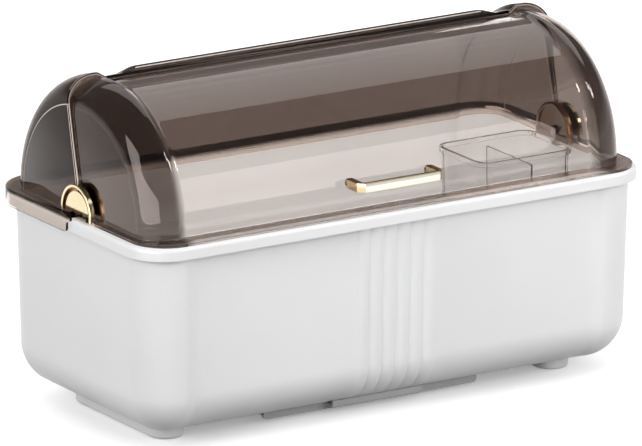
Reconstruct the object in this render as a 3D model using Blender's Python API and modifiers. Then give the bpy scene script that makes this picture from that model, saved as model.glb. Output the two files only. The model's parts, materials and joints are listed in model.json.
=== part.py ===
"""Covered dish drainer: a tub on two foot rails, a drip tray that slides out under it,
a drain rack with two plate combs and a cutlery caddy inside, and a two-part see-through
lid whose front door swings up about gilt pivots in the middle of the ends.

Units are metres, +Z is up, +X runs along the tub and -Y is the front.
"""
import math

import bmesh
import bpy
from mathutils import Matrix, Vector

# General clearances
seat_gap = 0.0003
cut_overrun = 0.002
weld_distance = 0.00001

# Tub
rim_length = 0.491
rim_depth = 0.247
rim_corner_r = 0.037
rim_top_z = 0.1789
rim_lip_drop = 0.0103
rim_lip_thickness = 0.0024
rim_edge_r = 0.0034
tub_wall = 0.0026
tub_floor = 0.0026
rim_overhang_end = 0.0048
rim_overhang_side = 0.007
body_corner_r = 0.034
body_bottom_r = 0.036
body_draft_share = 0.02
inner_edge_r = 0.0012

# Recessed panels of the tub's long walls, and the flutes of the front one
panel_end_margin = 0.0405
panel_recess = 0.0032
panel_step_width = 0.0127
flute_count = 6
flute_pitch = 0.0131
flute_height = 0.0013
flute_fade = 0.012

# Drain in the tub's floor
drain_hole_r = 0.0019
drain_ring_r = 0.011
drain_ring_holes = 8

# Foot rails and their pads
foot_height = 0.013
foot_rail_length = 0.142
foot_rail_width = 0.03
foot_rail_end_margin = 0.0575
foot_rail_corner_r = 0.014
foot_edge_r = 0.002
stud_r = 0.004
stud_head_r = 0.0056
stud_head_height = 0.0018
stud_tip_share = 0.6
stud_end_margin = 0.026
pad_r = 0.009
pad_thickness = 0.002
pad_stand_out = 0.0008
pad_end_margin = 0.017

# Drip tray and the runners that carry it
tray_width = 0.196
tray_length = 0.142
tray_front_width = 0.208
tray_front_thickness = 0.0024
tray_wall = 0.0018
tray_depth = 0.008
tray_headroom = 0.0014
tray_flange_width = 0.005
tray_flange_thickness = 0.0018
tray_corner_r = 0.0035
tray_front_rise = 0.0006
runner_lift = 0.0002
pull_width = 0.087
pull_reach = 0.013
pull_thickness = 0.003
pull_turn_up = 0.0036
tray_travel_gap = 0.0005
runner_length = 0.136
runner_web = 0.0024
runner_ledge_thickness = 0.0017
runner_ledge_width = 0.0036

# Lid: radii from the pivot axis, and places along it
axis_rise = 0.0051
lid_side_margin = 0.013
hump_step = 0.0045
lid_end_margin = 0.0095
cover_wall = 0.0024
shoulder_reach = 0.027
shoulder_rise = 0.022
hump_width = 0.03
hump_step_width = 0.012
door_clearance = 0.001
door_wall = 0.0022
cover_edge_deg = 78
door_overlap_deg = 4
lid_facet_deg = 6.5
lid_lip_drop = 0.004
ridge_height = 0.0045
ridge_end_margin = 0.048
ridge_fade = 0.023
ridge_sweep_deg = 6
ridge_root = 0.0012
ridge_shares = ((0, 0.0), (0.15, 0.55), (0.35, 1.0), (0.92, 1.0), (1.05, 0.8))

# Skirt of the rear cover and base flange of the door
flange_thickness = 0.0024
skirt_thickness = 0.0021
skirt_clearance = 0.0004
skirt_extra_drop = 0.0008
skirt_bead = 0.0003
skirt_edge_r = 0.001
skirt_front_y = 0.0005
skirt_corner_r = 0.004
skirt_hook_reach = 0.006
skirt_hook_height = 0.004
door_flange_inset_end = 0.0055
door_flange_inset_front = 0.002
door_flange_thickness = 0.0022

# Pivots
pin_r = 0.0025
pin_clearance = 0.0003
pin_head_r = 0.0045
pin_head_thickness = 0.0016
hub_r = 0.013
hub_proud = 0.0003
cap_r = 0.026
cap_ring_width = 0.0028
cap_depth = 0.0043
cap_face_thickness = 0.0016
cap_slot_height = 0.0042
cap_edge_r = 0.0006
plate_r = 0.025
plate_depth = 0.0045
plate_base_drop = 0.0065
plate_rim_width = 0.003
plate_sink = 0.0015

# Handle and its screws
handle_length = 0.083
handle_height = 0.008
handle_reach = 0.0195
handle_bar = 0.0045
handle_foot = 0.006
handle_chamfer = 0.0054
handle_edge_r = 0.0006
handle_rise = 0.0187
screw_r = 0.0015
screw_clearance = 0.0003
screw_head_r = 0.0032
screw_head_thickness = 0.0018
screw_head_share = 0.6
screw_grip = 0.008

# Drain rack
rack_end_margin = 0.0195
rack_side_margin = 0.0245
rack_corner_r = 0.024
rack_top_z = 0.0525
rack_thickness = 0.0024
rack_wall = 0.002
rack_wall_height = 0.008
rack_leg_r = 0.005
rack_leg_tip_r = 0.004
rack_leg_inset_x = 0.04
rack_leg_inset_y = 0.033
slot_width = 0.0038
slot_rows = 12
slot_columns = 4
slot_side_margin = 0.0138
slot_end_margin = 0.014
slot_spacing = 0.018

# Plate combs
comb_spacing = 0.09
comb_end_margin = 0.1485
comb_bar_width = 0.01
comb_bar_height = 0.003
comb_play = 0.001
comb_teeth = 14
tooth_height = 0.044
tooth_root_x = 0.009
tooth_root_y = 0.0046
tooth_tip_share = 0.6
tooth_end_share = 0.3
tooth_taper_share = 0.95
clip_width_share = 0.6

# Cutlery caddy
caddy_length = 0.095
caddy_depth = 0.074
caddy_end_margin = 0.103
caddy_side_margin = 0.0685
caddy_rise = 0.012
caddy_wall = 0.0018
caddy_corner_r = 0.012
caddy_draft = 0.0025
caddy_bead = 0.0016
caddy_bead_height = 0.004
caddy_foot_height = 0.003
caddy_foot_r = 0.003
caddy_divider_x = 0.004
caddy_hole = 0.0038
caddy_hole_pitch = 0.013

# Sizes that follow from the tub
body_length = rim_length - 2 * rim_overhang_end
body_depth = rim_depth - 2 * rim_overhang_side
panel_length = rim_length - 2 * panel_end_margin
lip_bottom_z = rim_top_z - rim_lip_drop
floor_top_z = foot_height + tub_floor
foot_rail_x = rim_length / 2 - foot_rail_end_margin
pad_spacing = foot_rail_length - 2 * pad_end_margin
stud_spacing = foot_rail_length - 2 * stud_end_margin
tray_top_z = foot_height - tray_headroom
tray_base_z = tray_top_z - tray_depth
tray_front_top_z = tray_top_z + tray_front_rise

# Sizes that follow for the lid and its pivots
axis_z = rim_top_z + axis_rise
cover_hump_r = rim_depth / 2 - lid_side_margin
cover_middle_r = cover_hump_r - hump_step
cover_end_x = rim_length / 2 - lid_end_margin
hump_step_outer_x = cover_end_x - hump_width
hump_step_inner_x = hump_step_outer_x - hump_step_width
ridge_end_x = cover_end_x - ridge_end_margin
ridge_flat_x = ridge_end_x - ridge_fade
flange_bottom_z = rim_top_z + seat_gap
flange_top_z = flange_bottom_z + flange_thickness
lid_lip_z = rim_top_z - lid_lip_drop
skirt_stand_out = skirt_clearance + skirt_thickness
skirt_length = rim_length + 2 * skirt_stand_out
skirt_depth = rim_depth + 2 * skirt_stand_out
skirt_bottom_z = lip_bottom_z - skirt_extra_drop
door_offset = cover_wall + door_clearance
door_end_x = cover_end_x - door_offset
door_middle_r = cover_middle_r - door_offset
hole_r = pin_r + pin_clearance
cap_inner_x = cover_end_x + hub_proud + seat_gap
pin_end_x = cap_inner_x
plate_outer_x = door_end_x - door_wall - hub_proud - seat_gap
plate_inner_x = plate_outer_x - plate_depth
pin_head_x = plate_inner_x + plate_sink - seat_gap
handle_z = axis_z + handle_rise
screw_x = handle_length / 2 - handle_foot / 2

# Sizes that follow for what stands inside
rack_length = rim_length - 2 * rack_end_margin
rack_depth = rim_depth - 2 * rack_side_margin
rack_leg_x = rack_length / 2 - rack_leg_inset_x
rack_leg_y = rack_depth / 2 - rack_leg_inset_y
slot_pitch = (rack_depth - 2 * slot_side_margin) / slot_rows
slot_column_pitch = (rack_length - 2 * slot_end_margin) / slot_columns
slot_length = slot_column_pitch - slot_spacing
comb_middle_x = comb_end_margin - rim_length / 2
comb_bar_length = rack_depth - 2 * (rack_wall + comb_play)
caddy_x = rim_length / 2 - caddy_end_margin
caddy_y = caddy_side_margin - rim_depth / 2
caddy_top_z = axis_z + caddy_rise

PART_NAME = "covered_dish_drainer"


def clear_scene():
    for old in list(bpy.data.objects):
        bpy.data.objects.remove(old, do_unlink=True)
    for group in list(bpy.data.collections):
        bpy.data.collections.remove(group)


def new_collection(name):
    group = bpy.data.collections.new(name)
    bpy.context.scene.collection.children.link(group)
    return group


def make_material(name, color, roughness, metallic=0.0, alpha=1.0):
    mat = bpy.data.materials.new(name)
    mat.use_nodes = True
    shader = mat.node_tree.nodes["Principled BSDF"]
    shader.inputs["Base Color"].default_value = (*color, 1.0)
    shader.inputs["Roughness"].default_value = roughness
    shader.inputs["Metallic"].default_value = metallic
    shader.inputs["Alpha"].default_value = alpha
    return mat


def add_object(name, bm, group, mat=None, smooth_deg=35):
    """Turns a bmesh into a named object with outward faces and smooth round sides."""
    bmesh.ops.recalc_face_normals(bm, faces=bm.faces)
    mesh = bpy.data.meshes.new(name)
    bm.to_mesh(mesh)
    bm.free()
    mesh.shade_smooth()
    mesh.set_sharp_from_angle(angle=math.radians(smooth_deg))
    obj = bpy.data.objects.new(name, mesh)
    group.objects.link(obj)
    if mat:
        mesh.materials.append(mat)
    return obj


def add_cutter(name, bm, cutters):
    obj = add_object(name, bm, cutters)
    obj.hide_render = True
    obj.display_type = "WIRE"
    return obj


def boolean(obj, other, operation):
    step = obj.modifiers.new(operation.lower() + "_" + other.name, "BOOLEAN")
    step.operation = operation
    step.object = other
    step.solver = "EXACT"
    return step


def set_origin(obj, point):
    """Moves the object's origin to a point and leaves its shape where it is."""
    obj.data.transform(Matrix.Translation(-Vector(point)))
    obj.location = point


def rounded_outline(length, depth, radius, segments):
    """Corner points of a rounded rectangle, anticlockwise from the +X +Y corner."""
    points = []
    for quarter, (sx, sy) in enumerate(((1, 1), (-1, 1), (-1, -1), (1, -1))):
        for step in range(segments + 1):
            turn = math.radians(90 * (quarter + step / segments))
            x = sx * (length / 2 - radius) + radius * math.cos(turn)
            y = sy * (depth / 2 - radius) + radius * math.sin(turn)
            points.append((x, y))
    return points


def box(bm, size, middle):
    made = bmesh.ops.create_cube(bm, size=1.0)
    verts = made["verts"]
    bmesh.ops.scale(bm, vec=Vector(size), verts=verts)
    bmesh.ops.translate(bm, vec=Vector(middle), verts=verts)
    return verts


def cylinder(bm, radius, low, high, direction="Z", segments=16, tip_radius=None, at=(0, 0, 0)):
    """Closed cylinder or cone between two places along an axis direction."""
    made = bmesh.ops.create_cone(
        bm,
        cap_ends=True,
        segments=segments,
        radius1=radius,
        radius2=radius if tip_radius is None else tip_radius,
        depth=high - low,
    )
    verts = made["verts"]
    bmesh.ops.translate(bm, vec=Vector((0, 0, (low + high) / 2)), verts=verts)
    if direction == "X":
        bmesh.ops.rotate(bm, matrix=Matrix.Rotation(math.radians(90), 3, "Y"), verts=verts)
    if direction == "Y":
        bmesh.ops.rotate(bm, matrix=Matrix.Rotation(math.radians(-90), 3, "X"), verts=verts)
    bmesh.ops.translate(bm, vec=Vector(at), verts=verts)
    return verts


def loft(bm, rings, closed_ends=True):
    """Skins rings of equal point counts one after the other and caps both ends."""
    made = [[bm.verts.new(point) for point in ring] for ring in rings]
    count = len(made[0])
    for lower, upper in zip(made, made[1:]):
        for i in range(count):
            j = (i + 1) % count
            bm.faces.new((lower[i], lower[j], upper[j], upper[i]))
    if closed_ends:
        bm.faces.new(reversed(made[0]))
        bm.faces.new(made[-1])
    return made


def smooth_step(value):
    value = min(max(value, 0.0), 1.0)
    return value * value * (3 - 2 * value)


def panel_share(x):
    """How much of the panel's recess a place along the long wall has, 0 to 1."""
    inside = panel_length / 2 - abs(x)
    return smooth_step(inside / panel_step_width)


def flute_share(x):
    """Height share of the flutes across the middle of the front wall, 0 to 1."""
    band = flute_pitch * flute_count / 2
    if abs(x) >= band:
        return 0.0
    place = (x + band) / flute_pitch % 1.0
    return 1 - (2 * place - 1) ** 2


def front_places():
    """Places along the front wall where the outline needs a point."""
    places = []
    for step in range(5):
        places.append(panel_length / 2 - panel_step_width * step / 4)
    band = flute_pitch * flute_count / 2
    steps = 4 * flute_count
    for step in range(steps + 1):
        places.append(band - 2 * band * step / steps)
    mirrored = [-x for x in places[:5]]
    return places + mirrored[::-1]


def tub_ring(length, depth, radius, z, recess, fluted, segments=6):
    """One level section of the tub; its panels narrow where the flat of the wall is short."""
    points = []
    half_depth = depth / 2
    squeeze = min(1.0, (length / 2 - radius) / (panel_length / 2 + inner_edge_r))
    corner = rounded_outline(length, depth, radius, segments)
    per_corner = segments + 1
    back_right = corner[:per_corner]
    back_left = corner[per_corner:2 * per_corner]
    front_left = corner[2 * per_corner:3 * per_corner]
    front_right = corner[3 * per_corner:]
    points += [(x, y, z) for x, y in back_right]
    back_places = [panel_length / 2 - panel_step_width * step / 4 for step in range(5)]
    for x in back_places + [-x for x in back_places[::-1]]:
        points.append((x * squeeze, half_depth - recess * panel_share(x), z))
    points += [(x, y, z) for x, y in back_left]
    points += [(x, y, z) for x, y in front_left]
    for x in front_places()[::-1]:
        rise = fluted * flute_share(x)
        points.append((x * squeeze, -half_depth + recess * panel_share(x) - rise, z))
    points += [(x, y, z) for x, y in front_right]
    return points


def tub_wall_rings(inset, floor_z, top_z, fluted):
    """Sections of one face of the tub's wall from its floor up to a height."""
    rings = []
    bottom_r = body_bottom_r - inset
    rounding_steps = 6
    for step in range(rounding_steps + 1):
        turn = math.radians(90 * step / rounding_steps)
        z = floor_z + bottom_r * (1 - math.cos(turn))
        shrink = bottom_r * (1 - math.sin(turn))
        fade = step / rounding_steps
        rings.append((z, shrink, fade))
    rings.append((top_z - flute_fade, 0.0, 1.0))
    rings.append((top_z, 0.0, 0.0 if fluted else 1.0))
    made = []
    for z, shrink, fade in rings:
        draft = body_draft_share * (lip_bottom_z - min(z, lip_bottom_z))
        pull_in = inset + shrink + draft
        radius = max(body_corner_r - inset - shrink, inner_edge_r)
        height = flute_height * smooth_step(fade * 2) if fluted else 0.0
        made.append(
            tub_ring(
                body_length - 2 * pull_in,
                body_depth - 2 * pull_in,
                radius,
                z,
                panel_recess * smooth_step(fade * 2) if z < top_z else panel_recess,
                height,
            )
        )
    return made


def build_tub(parts, cutters, mat):
    bm = bmesh.new()
    under_z = rim_top_z - rim_lip_thickness
    rings = tub_wall_rings(0.0, foot_height, under_z, True)
    lip_in = rim_lip_thickness
    rim = (rim_length, rim_depth, rim_corner_r)

    def rim_ring(inset, z):
        return tub_ring(rim[0] - 2 * inset, rim[1] - 2 * inset, rim[2] - inset, z, 0.0, 0.0)

    rings.append(rim_ring(lip_in, under_z))
    rings.append(rim_ring(lip_in, lip_bottom_z))
    rings.append(rim_ring(0.0, lip_bottom_z))
    edge_steps = 3
    for step in range(edge_steps + 1):
        turn = math.radians(90 * step / edge_steps)
        inset = rim_edge_r * (1 - math.cos(turn))
        rings.append(rim_ring(inset, rim_top_z - rim_edge_r * (1 - math.sin(turn))))
    inner = tub_wall_rings(tub_wall, floor_top_z, rim_top_z - inner_edge_r, False)
    mouth = body_length - 2 * (tub_wall - inner_edge_r)
    mouth_depth = body_depth - 2 * (tub_wall - inner_edge_r)
    mouth_r = body_corner_r - tub_wall + inner_edge_r
    rings.append(tub_ring(mouth, mouth_depth, mouth_r, rim_top_z, panel_recess, 0.0))
    rings += inner[::-1]
    loft(bm, rings)
    tub = add_object("tub", bm, parts, mat)

    holes = bmesh.new()
    low = foot_height - cut_overrun
    high = floor_top_z + cut_overrun
    cylinder(holes, drain_hole_r, low, high, segments=12)
    for hole in range(drain_ring_holes):
        turn = math.tau * hole / drain_ring_holes
        place = (drain_ring_r * math.cos(turn), drain_ring_r * math.sin(turn), 0)
        cylinder(holes, drain_hole_r, low, high, segments=12, at=place)
    for side in (-1, 1):
        for end in (-1, 1):
            place = (side * foot_rail_x, end * stud_spacing / 2, 0)
            cylinder(holes, stud_r + seat_gap, low, high, segments=12, at=place)
    boolean(tub, add_cutter("tub_floor_holes", holes, cutters), "DIFFERENCE")
    return tub


def build_foot_rail(name, side, parts, cutters, mat):
    bm = bmesh.new()
    rings = []
    steps = 3
    for step in range(steps + 1):
        turn = math.radians(90 * step / steps)
        inset = foot_edge_r * (1 - math.sin(turn))
        z = pad_stand_out + foot_edge_r * (1 - math.cos(turn))
        rings.append((inset, z))
    rings.append((0.0, foot_height - seat_gap))
    made = []
    for inset, z in rings:
        width = foot_rail_width - 2 * inset
        length = foot_rail_length - 2 * inset
        outline = rounded_outline(width, length, foot_rail_corner_r - inset, 5)
        made.append([(x + side * foot_rail_x, y, z) for x, y in outline])
    loft(bm, made)
    rail = add_object(name, bm, parts, mat)

    pockets = bmesh.new()
    for end in (-1, 1):
        place = (side * foot_rail_x, end * pad_spacing / 2, 0)
        top = pad_thickness + seat_gap
        cylinder(pockets, pad_r + seat_gap, -cut_overrun, top, segments=20, at=place)
    boolean(rail, add_cutter(name + "_pad_pockets", pockets, cutters), "DIFFERENCE")

    studs = bmesh.new()
    head_low = floor_top_z + seat_gap
    for end in (-1, 1):
        at = (side * foot_rail_x, end * stud_spacing / 2)
        rings = []
        for radius, z in (
            (stud_r, foot_height - cut_overrun),
            (stud_r, head_low),
            (stud_head_r, head_low),
            (stud_head_r * stud_tip_share, head_low + stud_head_height),
        ):
            turns = [math.tau * i / 12 for i in range(12)]
            rings.append([(at[0] + radius * math.cos(t), at[1] + radius * math.sin(t), z) for t in turns])
        loft(studs, rings)
    boolean(rail, add_cutter(name + "_studs", studs, cutters), "UNION")
    return rail


def build_pads(parts, mat):
    pads = []
    for side, side_name in ((-1, "left"), (1, "right")):
        for end, end_name in ((-1, "front"), (1, "rear")):
            bm = bmesh.new()
            cylinder(bm, pad_r, 0.0, pad_thickness, segments=20)
            pad = add_object("pad_" + end_name + "_" + side_name, bm, parts, mat)
            pad.location = (side * foot_rail_x, end * pad_spacing / 2, 0)
            pads.append(pad)
    return pads


def extrude_outline(bm, outline, low, high, direction):
    """Closed block on an outline: YZ outlines run along X and XZ outlines along Y."""
    if direction == "X":
        start = [(low, a, b) for a, b in outline]
        finish = [(high, a, b) for a, b in outline]
    elif direction == "Y":
        start = [(a, low, b) for a, b in outline]
        finish = [(a, high, b) for a, b in outline]
    else:
        start = [(a, b, low) for a, b in outline]
        finish = [(a, b, high) for a, b in outline]
    return loft(bm, [start, finish])


def build_drip_tray(parts, cutters, mat):
    front_y = -tray_length / 2
    bm = bmesh.new()

    def tray_ring(inset, z):
        outline = rounded_outline(tray_width - 2 * inset, tray_length - 2 * inset, tray_corner_r - inset, 3)
        return [(x, y, z) for x, y in outline]

    loft(bm, [
        tray_ring(0.0, tray_base_z),
        tray_ring(0.0, tray_top_z),
        tray_ring(tray_wall, tray_top_z),
        tray_ring(tray_wall, tray_base_z + tray_wall),
    ])
    tray = add_object("drip_tray", bm, parts, mat)

    flanges = bmesh.new()
    inner_x = tray_width / 2 - tray_wall / 2
    outer_x = tray_width / 2 + tray_flange_width
    rail_length = tray_length - 2 * tray_corner_r
    for side in (-1, 1):
        middle = (side * (inner_x + outer_x) / 2, 0, tray_top_z - tray_flange_thickness / 2 - runner_lift)
        box(flanges, (outer_x - inner_x, rail_length, tray_flange_thickness), middle)
    boolean(tray, add_cutter("tray_flanges", flanges, cutters), "UNION")

    front = bmesh.new()
    half = tray_front_width / 2
    outline = []
    for corner_x, corner_z, start in (
        (half - tray_corner_r, tray_front_top_z - tray_corner_r, 0),
        (-half + tray_corner_r, tray_front_top_z - tray_corner_r, 90),
        (-half + tray_corner_r, tray_base_z + tray_corner_r, 180),
        (half - tray_corner_r, tray_base_z + tray_corner_r, 270),
    ):
        for step in range(4):
            turn = math.radians(start + 30 * step)
            outline.append((
                corner_x + tray_corner_r * math.cos(turn),
                corner_z + tray_corner_r * math.sin(turn),
            ))
    extrude_outline(front, outline, front_y - tray_front_thickness, front_y + tray_wall / 2, "Y")
    boolean(tray, add_cutter("tray_front", front, cutters), "UNION")

    pull = bmesh.new()
    tip_y = front_y - pull_reach
    low = tray_base_z + pull_thickness
    shelf = low + pull_thickness
    lip = shelf + pull_turn_up
    section = [
        (front_y - tray_front_thickness / 2, low),
        (front_y - tray_front_thickness / 2, shelf),
        (tip_y + pull_thickness, shelf),
        (tip_y + tray_wall, lip),
        (tip_y, lip),
        (tip_y, low + tray_wall / 2),
        (tip_y + tray_wall / 2, low),
    ]
    extrude_outline(pull, section, -pull_width / 2, pull_width / 2, "X")
    boolean(tray, add_cutter("tray_pull", pull, cutters), "UNION")
    return tray


def build_runner(name, side, parts, mat):
    flange_edge = tray_width / 2 + tray_flange_width
    web_in = flange_edge + tray_travel_gap
    web_out = web_in + runner_web
    ledge_in = web_in - runner_ledge_width
    ledge_top = tray_top_z - runner_lift - tray_flange_thickness - seat_gap
    ledge_low = ledge_top - runner_ledge_thickness
    top = foot_height - seat_gap
    section = [
        (side * ledge_in, ledge_low),
        (side * web_out, ledge_low),
        (side * web_out, top),
        (side * web_in, top),
        (side * web_in, ledge_top),
        (side * ledge_in, ledge_top),
    ]
    bm = bmesh.new()
    start = -tray_length / 2 + tray_wall + tray_travel_gap
    extrude_outline(bm, section, start, start + runner_length, "Y")
    return add_object(name, bm, parts, mat)


def lid_profile(offset, start_r):
    """Places along X and radii from the pivot axis of one face of the lid, end to end."""
    end_x = cover_end_x - offset
    hump = cover_hump_r - offset
    middle = cover_middle_r - offset
    centre_x = cover_end_x - shoulder_reach
    centre_r = cover_hump_r - shoulder_rise
    half = [(end_x, start_r)]
    arc_steps = 7
    for step in range(arc_steps + 1):
        turn = math.radians(90 * step / arc_steps)
        x = centre_x + (shoulder_reach - offset) * math.cos(turn)
        half.append((x, centre_r + (shoulder_rise - offset) * math.sin(turn)))
    step_count = 5
    for step in range(step_count + 1):
        share = step / step_count
        x = hump_step_outer_x + (hump_step_inner_x - hump_step_outer_x) * share
        half.append((x, hump + (middle - hump) * smooth_step(share)))
    return half + [(-x, r) for x, r in half[::-1]]


def turned_section(outer, inner, degrees):
    """Closed section of a lid shell, turned about the pivot axis from the back over the top."""
    turn = math.radians(degrees)
    loop = outer + inner[::-1]
    return [(x, r * math.cos(turn), axis_z + r * math.sin(turn)) for x, r in loop]


def lid_shell(bm, offset, wall, from_deg, to_deg):
    """Part-turned lid shell; an end at 0 or 180 degrees runs straight down to the lid's lip."""
    outer = lid_profile(offset, hub_r / 2)
    inner = lid_profile(offset + wall, hub_r / 2)
    steps = round((to_deg - from_deg) / lid_facet_deg)
    sections = []
    for step in range(steps + 1):
        degrees = from_deg + (to_deg - from_deg) * step / steps
        sections.append(turned_section(outer, inner, degrees))
    drop = axis_z - lid_lip_z
    if from_deg == 0:
        sections.insert(0, [(x, y, z - drop) for x, y, z in sections[0]])
    if to_deg == 180:
        sections.append([(x, y, z - drop) for x, y, z in sections[-1]])
    loft(bm, sections)


def hubs(bm, offset, wall):
    """Round bosses about the pivot axis on both end walls of a lid shell."""
    for side in (-1, 1):
        outer_x = side * (cover_end_x - offset + hub_proud)
        inner_x = side * (cover_end_x - offset - wall - hub_proud)
        low, high = sorted((outer_x, inner_x))
        cylinder(bm, hub_r, low, high, direction="X", segments=24, at=(0, 0, axis_z))


def pin_holes(bm, radius):
    for side in (-1, 1):
        low, high = sorted((side * (door_end_x - shoulder_reach), side * (cover_end_x + shoulder_reach)))
        cylinder(bm, radius, low, high, direction="X", segments=16, at=(0, 0, axis_z))


def ring_wall(bm, length, depth, radius, thickness, low, high, edge):
    """Closed wall round a rounded rectangle, with its outer top edge eased."""
    def ring(inset, z):
        outline = rounded_outline(length - 2 * inset, depth - 2 * inset, radius - inset, 6)
        return [(x, y, z) for x, y in outline]

    rings = [
        ring(thickness, low),
        ring(0.0, low),
        ring(0.0, high - edge),
        ring(edge, high),
        ring(thickness, high),
    ]
    made = loft(bm, rings, closed_ends=False)
    count = len(made[0])
    for i in range(count):
        j = (i + 1) % count
        bm.faces.new((made[-1][i], made[-1][j], made[0][j], made[0][i]))


def half_ledge(bm, length, depth, radius, offset, side, start_y, low, high):
    """Flat ledge from a lid shell's wall out to a rounded rectangle, on one half of the lid.

    side is 1 for the back half and -1 for the front half; start_y is where the ledge begins.
    """
    outline = rounded_outline(length, depth, radius, 6)
    outer = [(x, y) for x, y in outline if y * side > start_y]
    if side < 0:
        outer = [(x, y) for x, y in outer if x < 0] + [(x, y) for x, y in outer if x >= 0]
    first_x = outer[0][0]
    last_x = outer[-1][0]
    reach = length / 2
    outer = [(math.copysign(reach, first_x), side * start_y)] + outer
    outer = outer + [(math.copysign(reach, last_x), side * start_y)]
    wall_line = lid_profile(offset, start_y)
    inner = [(x, side * r) for x, r in wall_line]
    if (inner[0][0] > 0) != (outer[-1][0] > 0):
        inner = inner[::-1]
    extrude_outline(bm, outer + inner, low, high, "Z")


def ridge(bm):
    """Raised bead along the front edge of the rear cover, between the end humps."""
    places = []
    fade_steps = 6
    for step in range(fade_steps + 1):
        share = step / fade_steps
        x = ridge_end_x + (ridge_flat_x - ridge_end_x) * share
        places.append((x, smooth_step(share)))
    places = places + [(-x, share) for x, share in places[::-1]]
    root = cover_middle_r - ridge_root
    sections = []
    for sweep_share, height_share in ridge_shares:
        degrees = cover_edge_deg - ridge_sweep_deg * (1 - sweep_share)
        outer = []
        for x, share in places:
            rise = share * height_share * (ridge_height + ridge_root / 2)
            outer.append((x, cover_middle_r - ridge_root / 2 + rise))
        inner = [(x, root) for x, share in places]
        sections.append(turned_section(outer, inner, degrees))
    loft(bm, sections)


def skirt_front_cutter(bm):
    """Takes the front half off the skirt and leaves a hooked, rounded end on each side."""
    top = flange_top_z + cut_overrun
    low = skirt_bottom_z - cut_overrun
    outline = [(-skirt_depth, low), (skirt_front_y + skirt_corner_r, low)]
    outline.append((skirt_front_y + skirt_corner_r, skirt_bottom_z))
    for step in range(1, 4):
        turn = math.radians(90 * step / 3)
        outline.append((
            skirt_front_y + skirt_corner_r * (1 - math.sin(turn)),
            skirt_bottom_z + skirt_corner_r * (1 - math.cos(turn)),
        ))
    hook_low = flange_bottom_z - skirt_hook_height
    for step in range(5):
        share = step / 4
        z = hook_low + (flange_bottom_z - hook_low) * share
        outline.append((skirt_front_y - skirt_hook_reach * smooth_step(share), z))
    outline.append((skirt_front_y - skirt_hook_reach, top))
    outline.append((-skirt_depth, top))
    extrude_outline(bm, outline, -skirt_length, skirt_length, "X")


def build_rear_cover(parts, cutters, mat):
    bm = bmesh.new()
    lid_shell(bm, 0.0, cover_wall, 0, cover_edge_deg)
    cover = add_object("rear_cover", bm, parts, mat)

    ledge = bmesh.new()
    inset = skirt_thickness / 2
    half_ledge(
        ledge,
        skirt_length - 2 * inset,
        skirt_depth - 2 * inset,
        rim_corner_r + skirt_stand_out - inset,
        cover_wall / 2,
        1,
        0.0,
        flange_bottom_z,
        flange_top_z,
    )
    ledge_obj = add_cutter("cover_ledge", ledge, cutters)

    skirt = bmesh.new()
    ring_wall(
        skirt,
        skirt_length,
        skirt_depth,
        rim_corner_r + skirt_stand_out,
        skirt_thickness,
        skirt_bottom_z,
        flange_top_z + skirt_bead,
        skirt_edge_r,
    )
    skirt_obj = add_cutter("cover_skirt", skirt, cutters)
    front = bmesh.new()
    skirt_front_cutter(front)
    boolean(skirt_obj, add_cutter("skirt_front", front, cutters), "DIFFERENCE")
    boolean(skirt_obj, ledge_obj, "UNION")

    bead = bmesh.new()
    ridge(bead)
    bead_obj = add_cutter("cover_ridge", bead, cutters)

    bosses = bmesh.new()
    hubs(bosses, 0.0, cover_wall)
    bosses_obj = add_cutter("cover_hubs", bosses, cutters)

    holes = bmesh.new()
    pin_holes(holes, hole_r)
    holes_obj = add_cutter("cover_pin_holes", holes, cutters)

    boolean(cover, skirt_obj, "UNION")
    boolean(cover, bead_obj, "UNION")
    boolean(cover, bosses_obj, "UNION")
    boolean(cover, holes_obj, "DIFFERENCE")
    return cover


def build_front_door(parts, cutters, mat):
    bm = bmesh.new()
    lid_shell(bm, door_offset, door_wall, cover_edge_deg - door_overlap_deg, 180)
    door = add_object("front_door", bm, parts, mat)

    ledge = bmesh.new()
    inset = door_flange_inset_front
    half_ledge(
        ledge,
        rim_length - 2 * door_flange_inset_end,
        rim_depth - 2 * inset,
        rim_corner_r - door_flange_inset_end,
        door_offset + door_wall / 2,
        -1,
        cap_r + door_clearance,
        flange_bottom_z,
        flange_bottom_z + door_flange_thickness,
    )
    bosses = bmesh.new()
    hubs(bosses, door_offset, door_wall)
    holes = bmesh.new()
    pin_holes(holes, hole_r)
    screw_holes = bmesh.new()
    for side in (-1, 1):
        verts = cylinder(
            screw_holes,
            screw_r + screw_clearance,
            door_middle_r - door_wall - cut_overrun,
            door_middle_r + screw_grip + seat_gap,
            segments=10,
        )
        bmesh.ops.rotate(screw_holes, matrix=handle_direction(), verts=verts)
        bmesh.ops.translate(screw_holes, vec=Vector((side * screw_x, 0, axis_z)), verts=verts)
    boolean(door, add_cutter("door_ledge", ledge, cutters), "UNION")
    boolean(door, add_cutter("door_hubs", bosses, cutters), "UNION")
    boolean(door, add_cutter("door_pin_holes", holes, cutters), "DIFFERENCE")
    screw_cutter = add_cutter("handle_screw_holes", screw_holes, cutters)
    boolean(door, screw_cutter, "DIFFERENCE")
    set_origin(door, (0, 0, axis_z))
    return door, screw_cutter


def handle_direction():
    """Turns +Z to the door's outward direction at the handle's height."""
    tilt = math.asin((handle_z - axis_z) / door_middle_r)
    return Matrix.Rotation(math.radians(90) - tilt, 3, "X")


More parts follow.
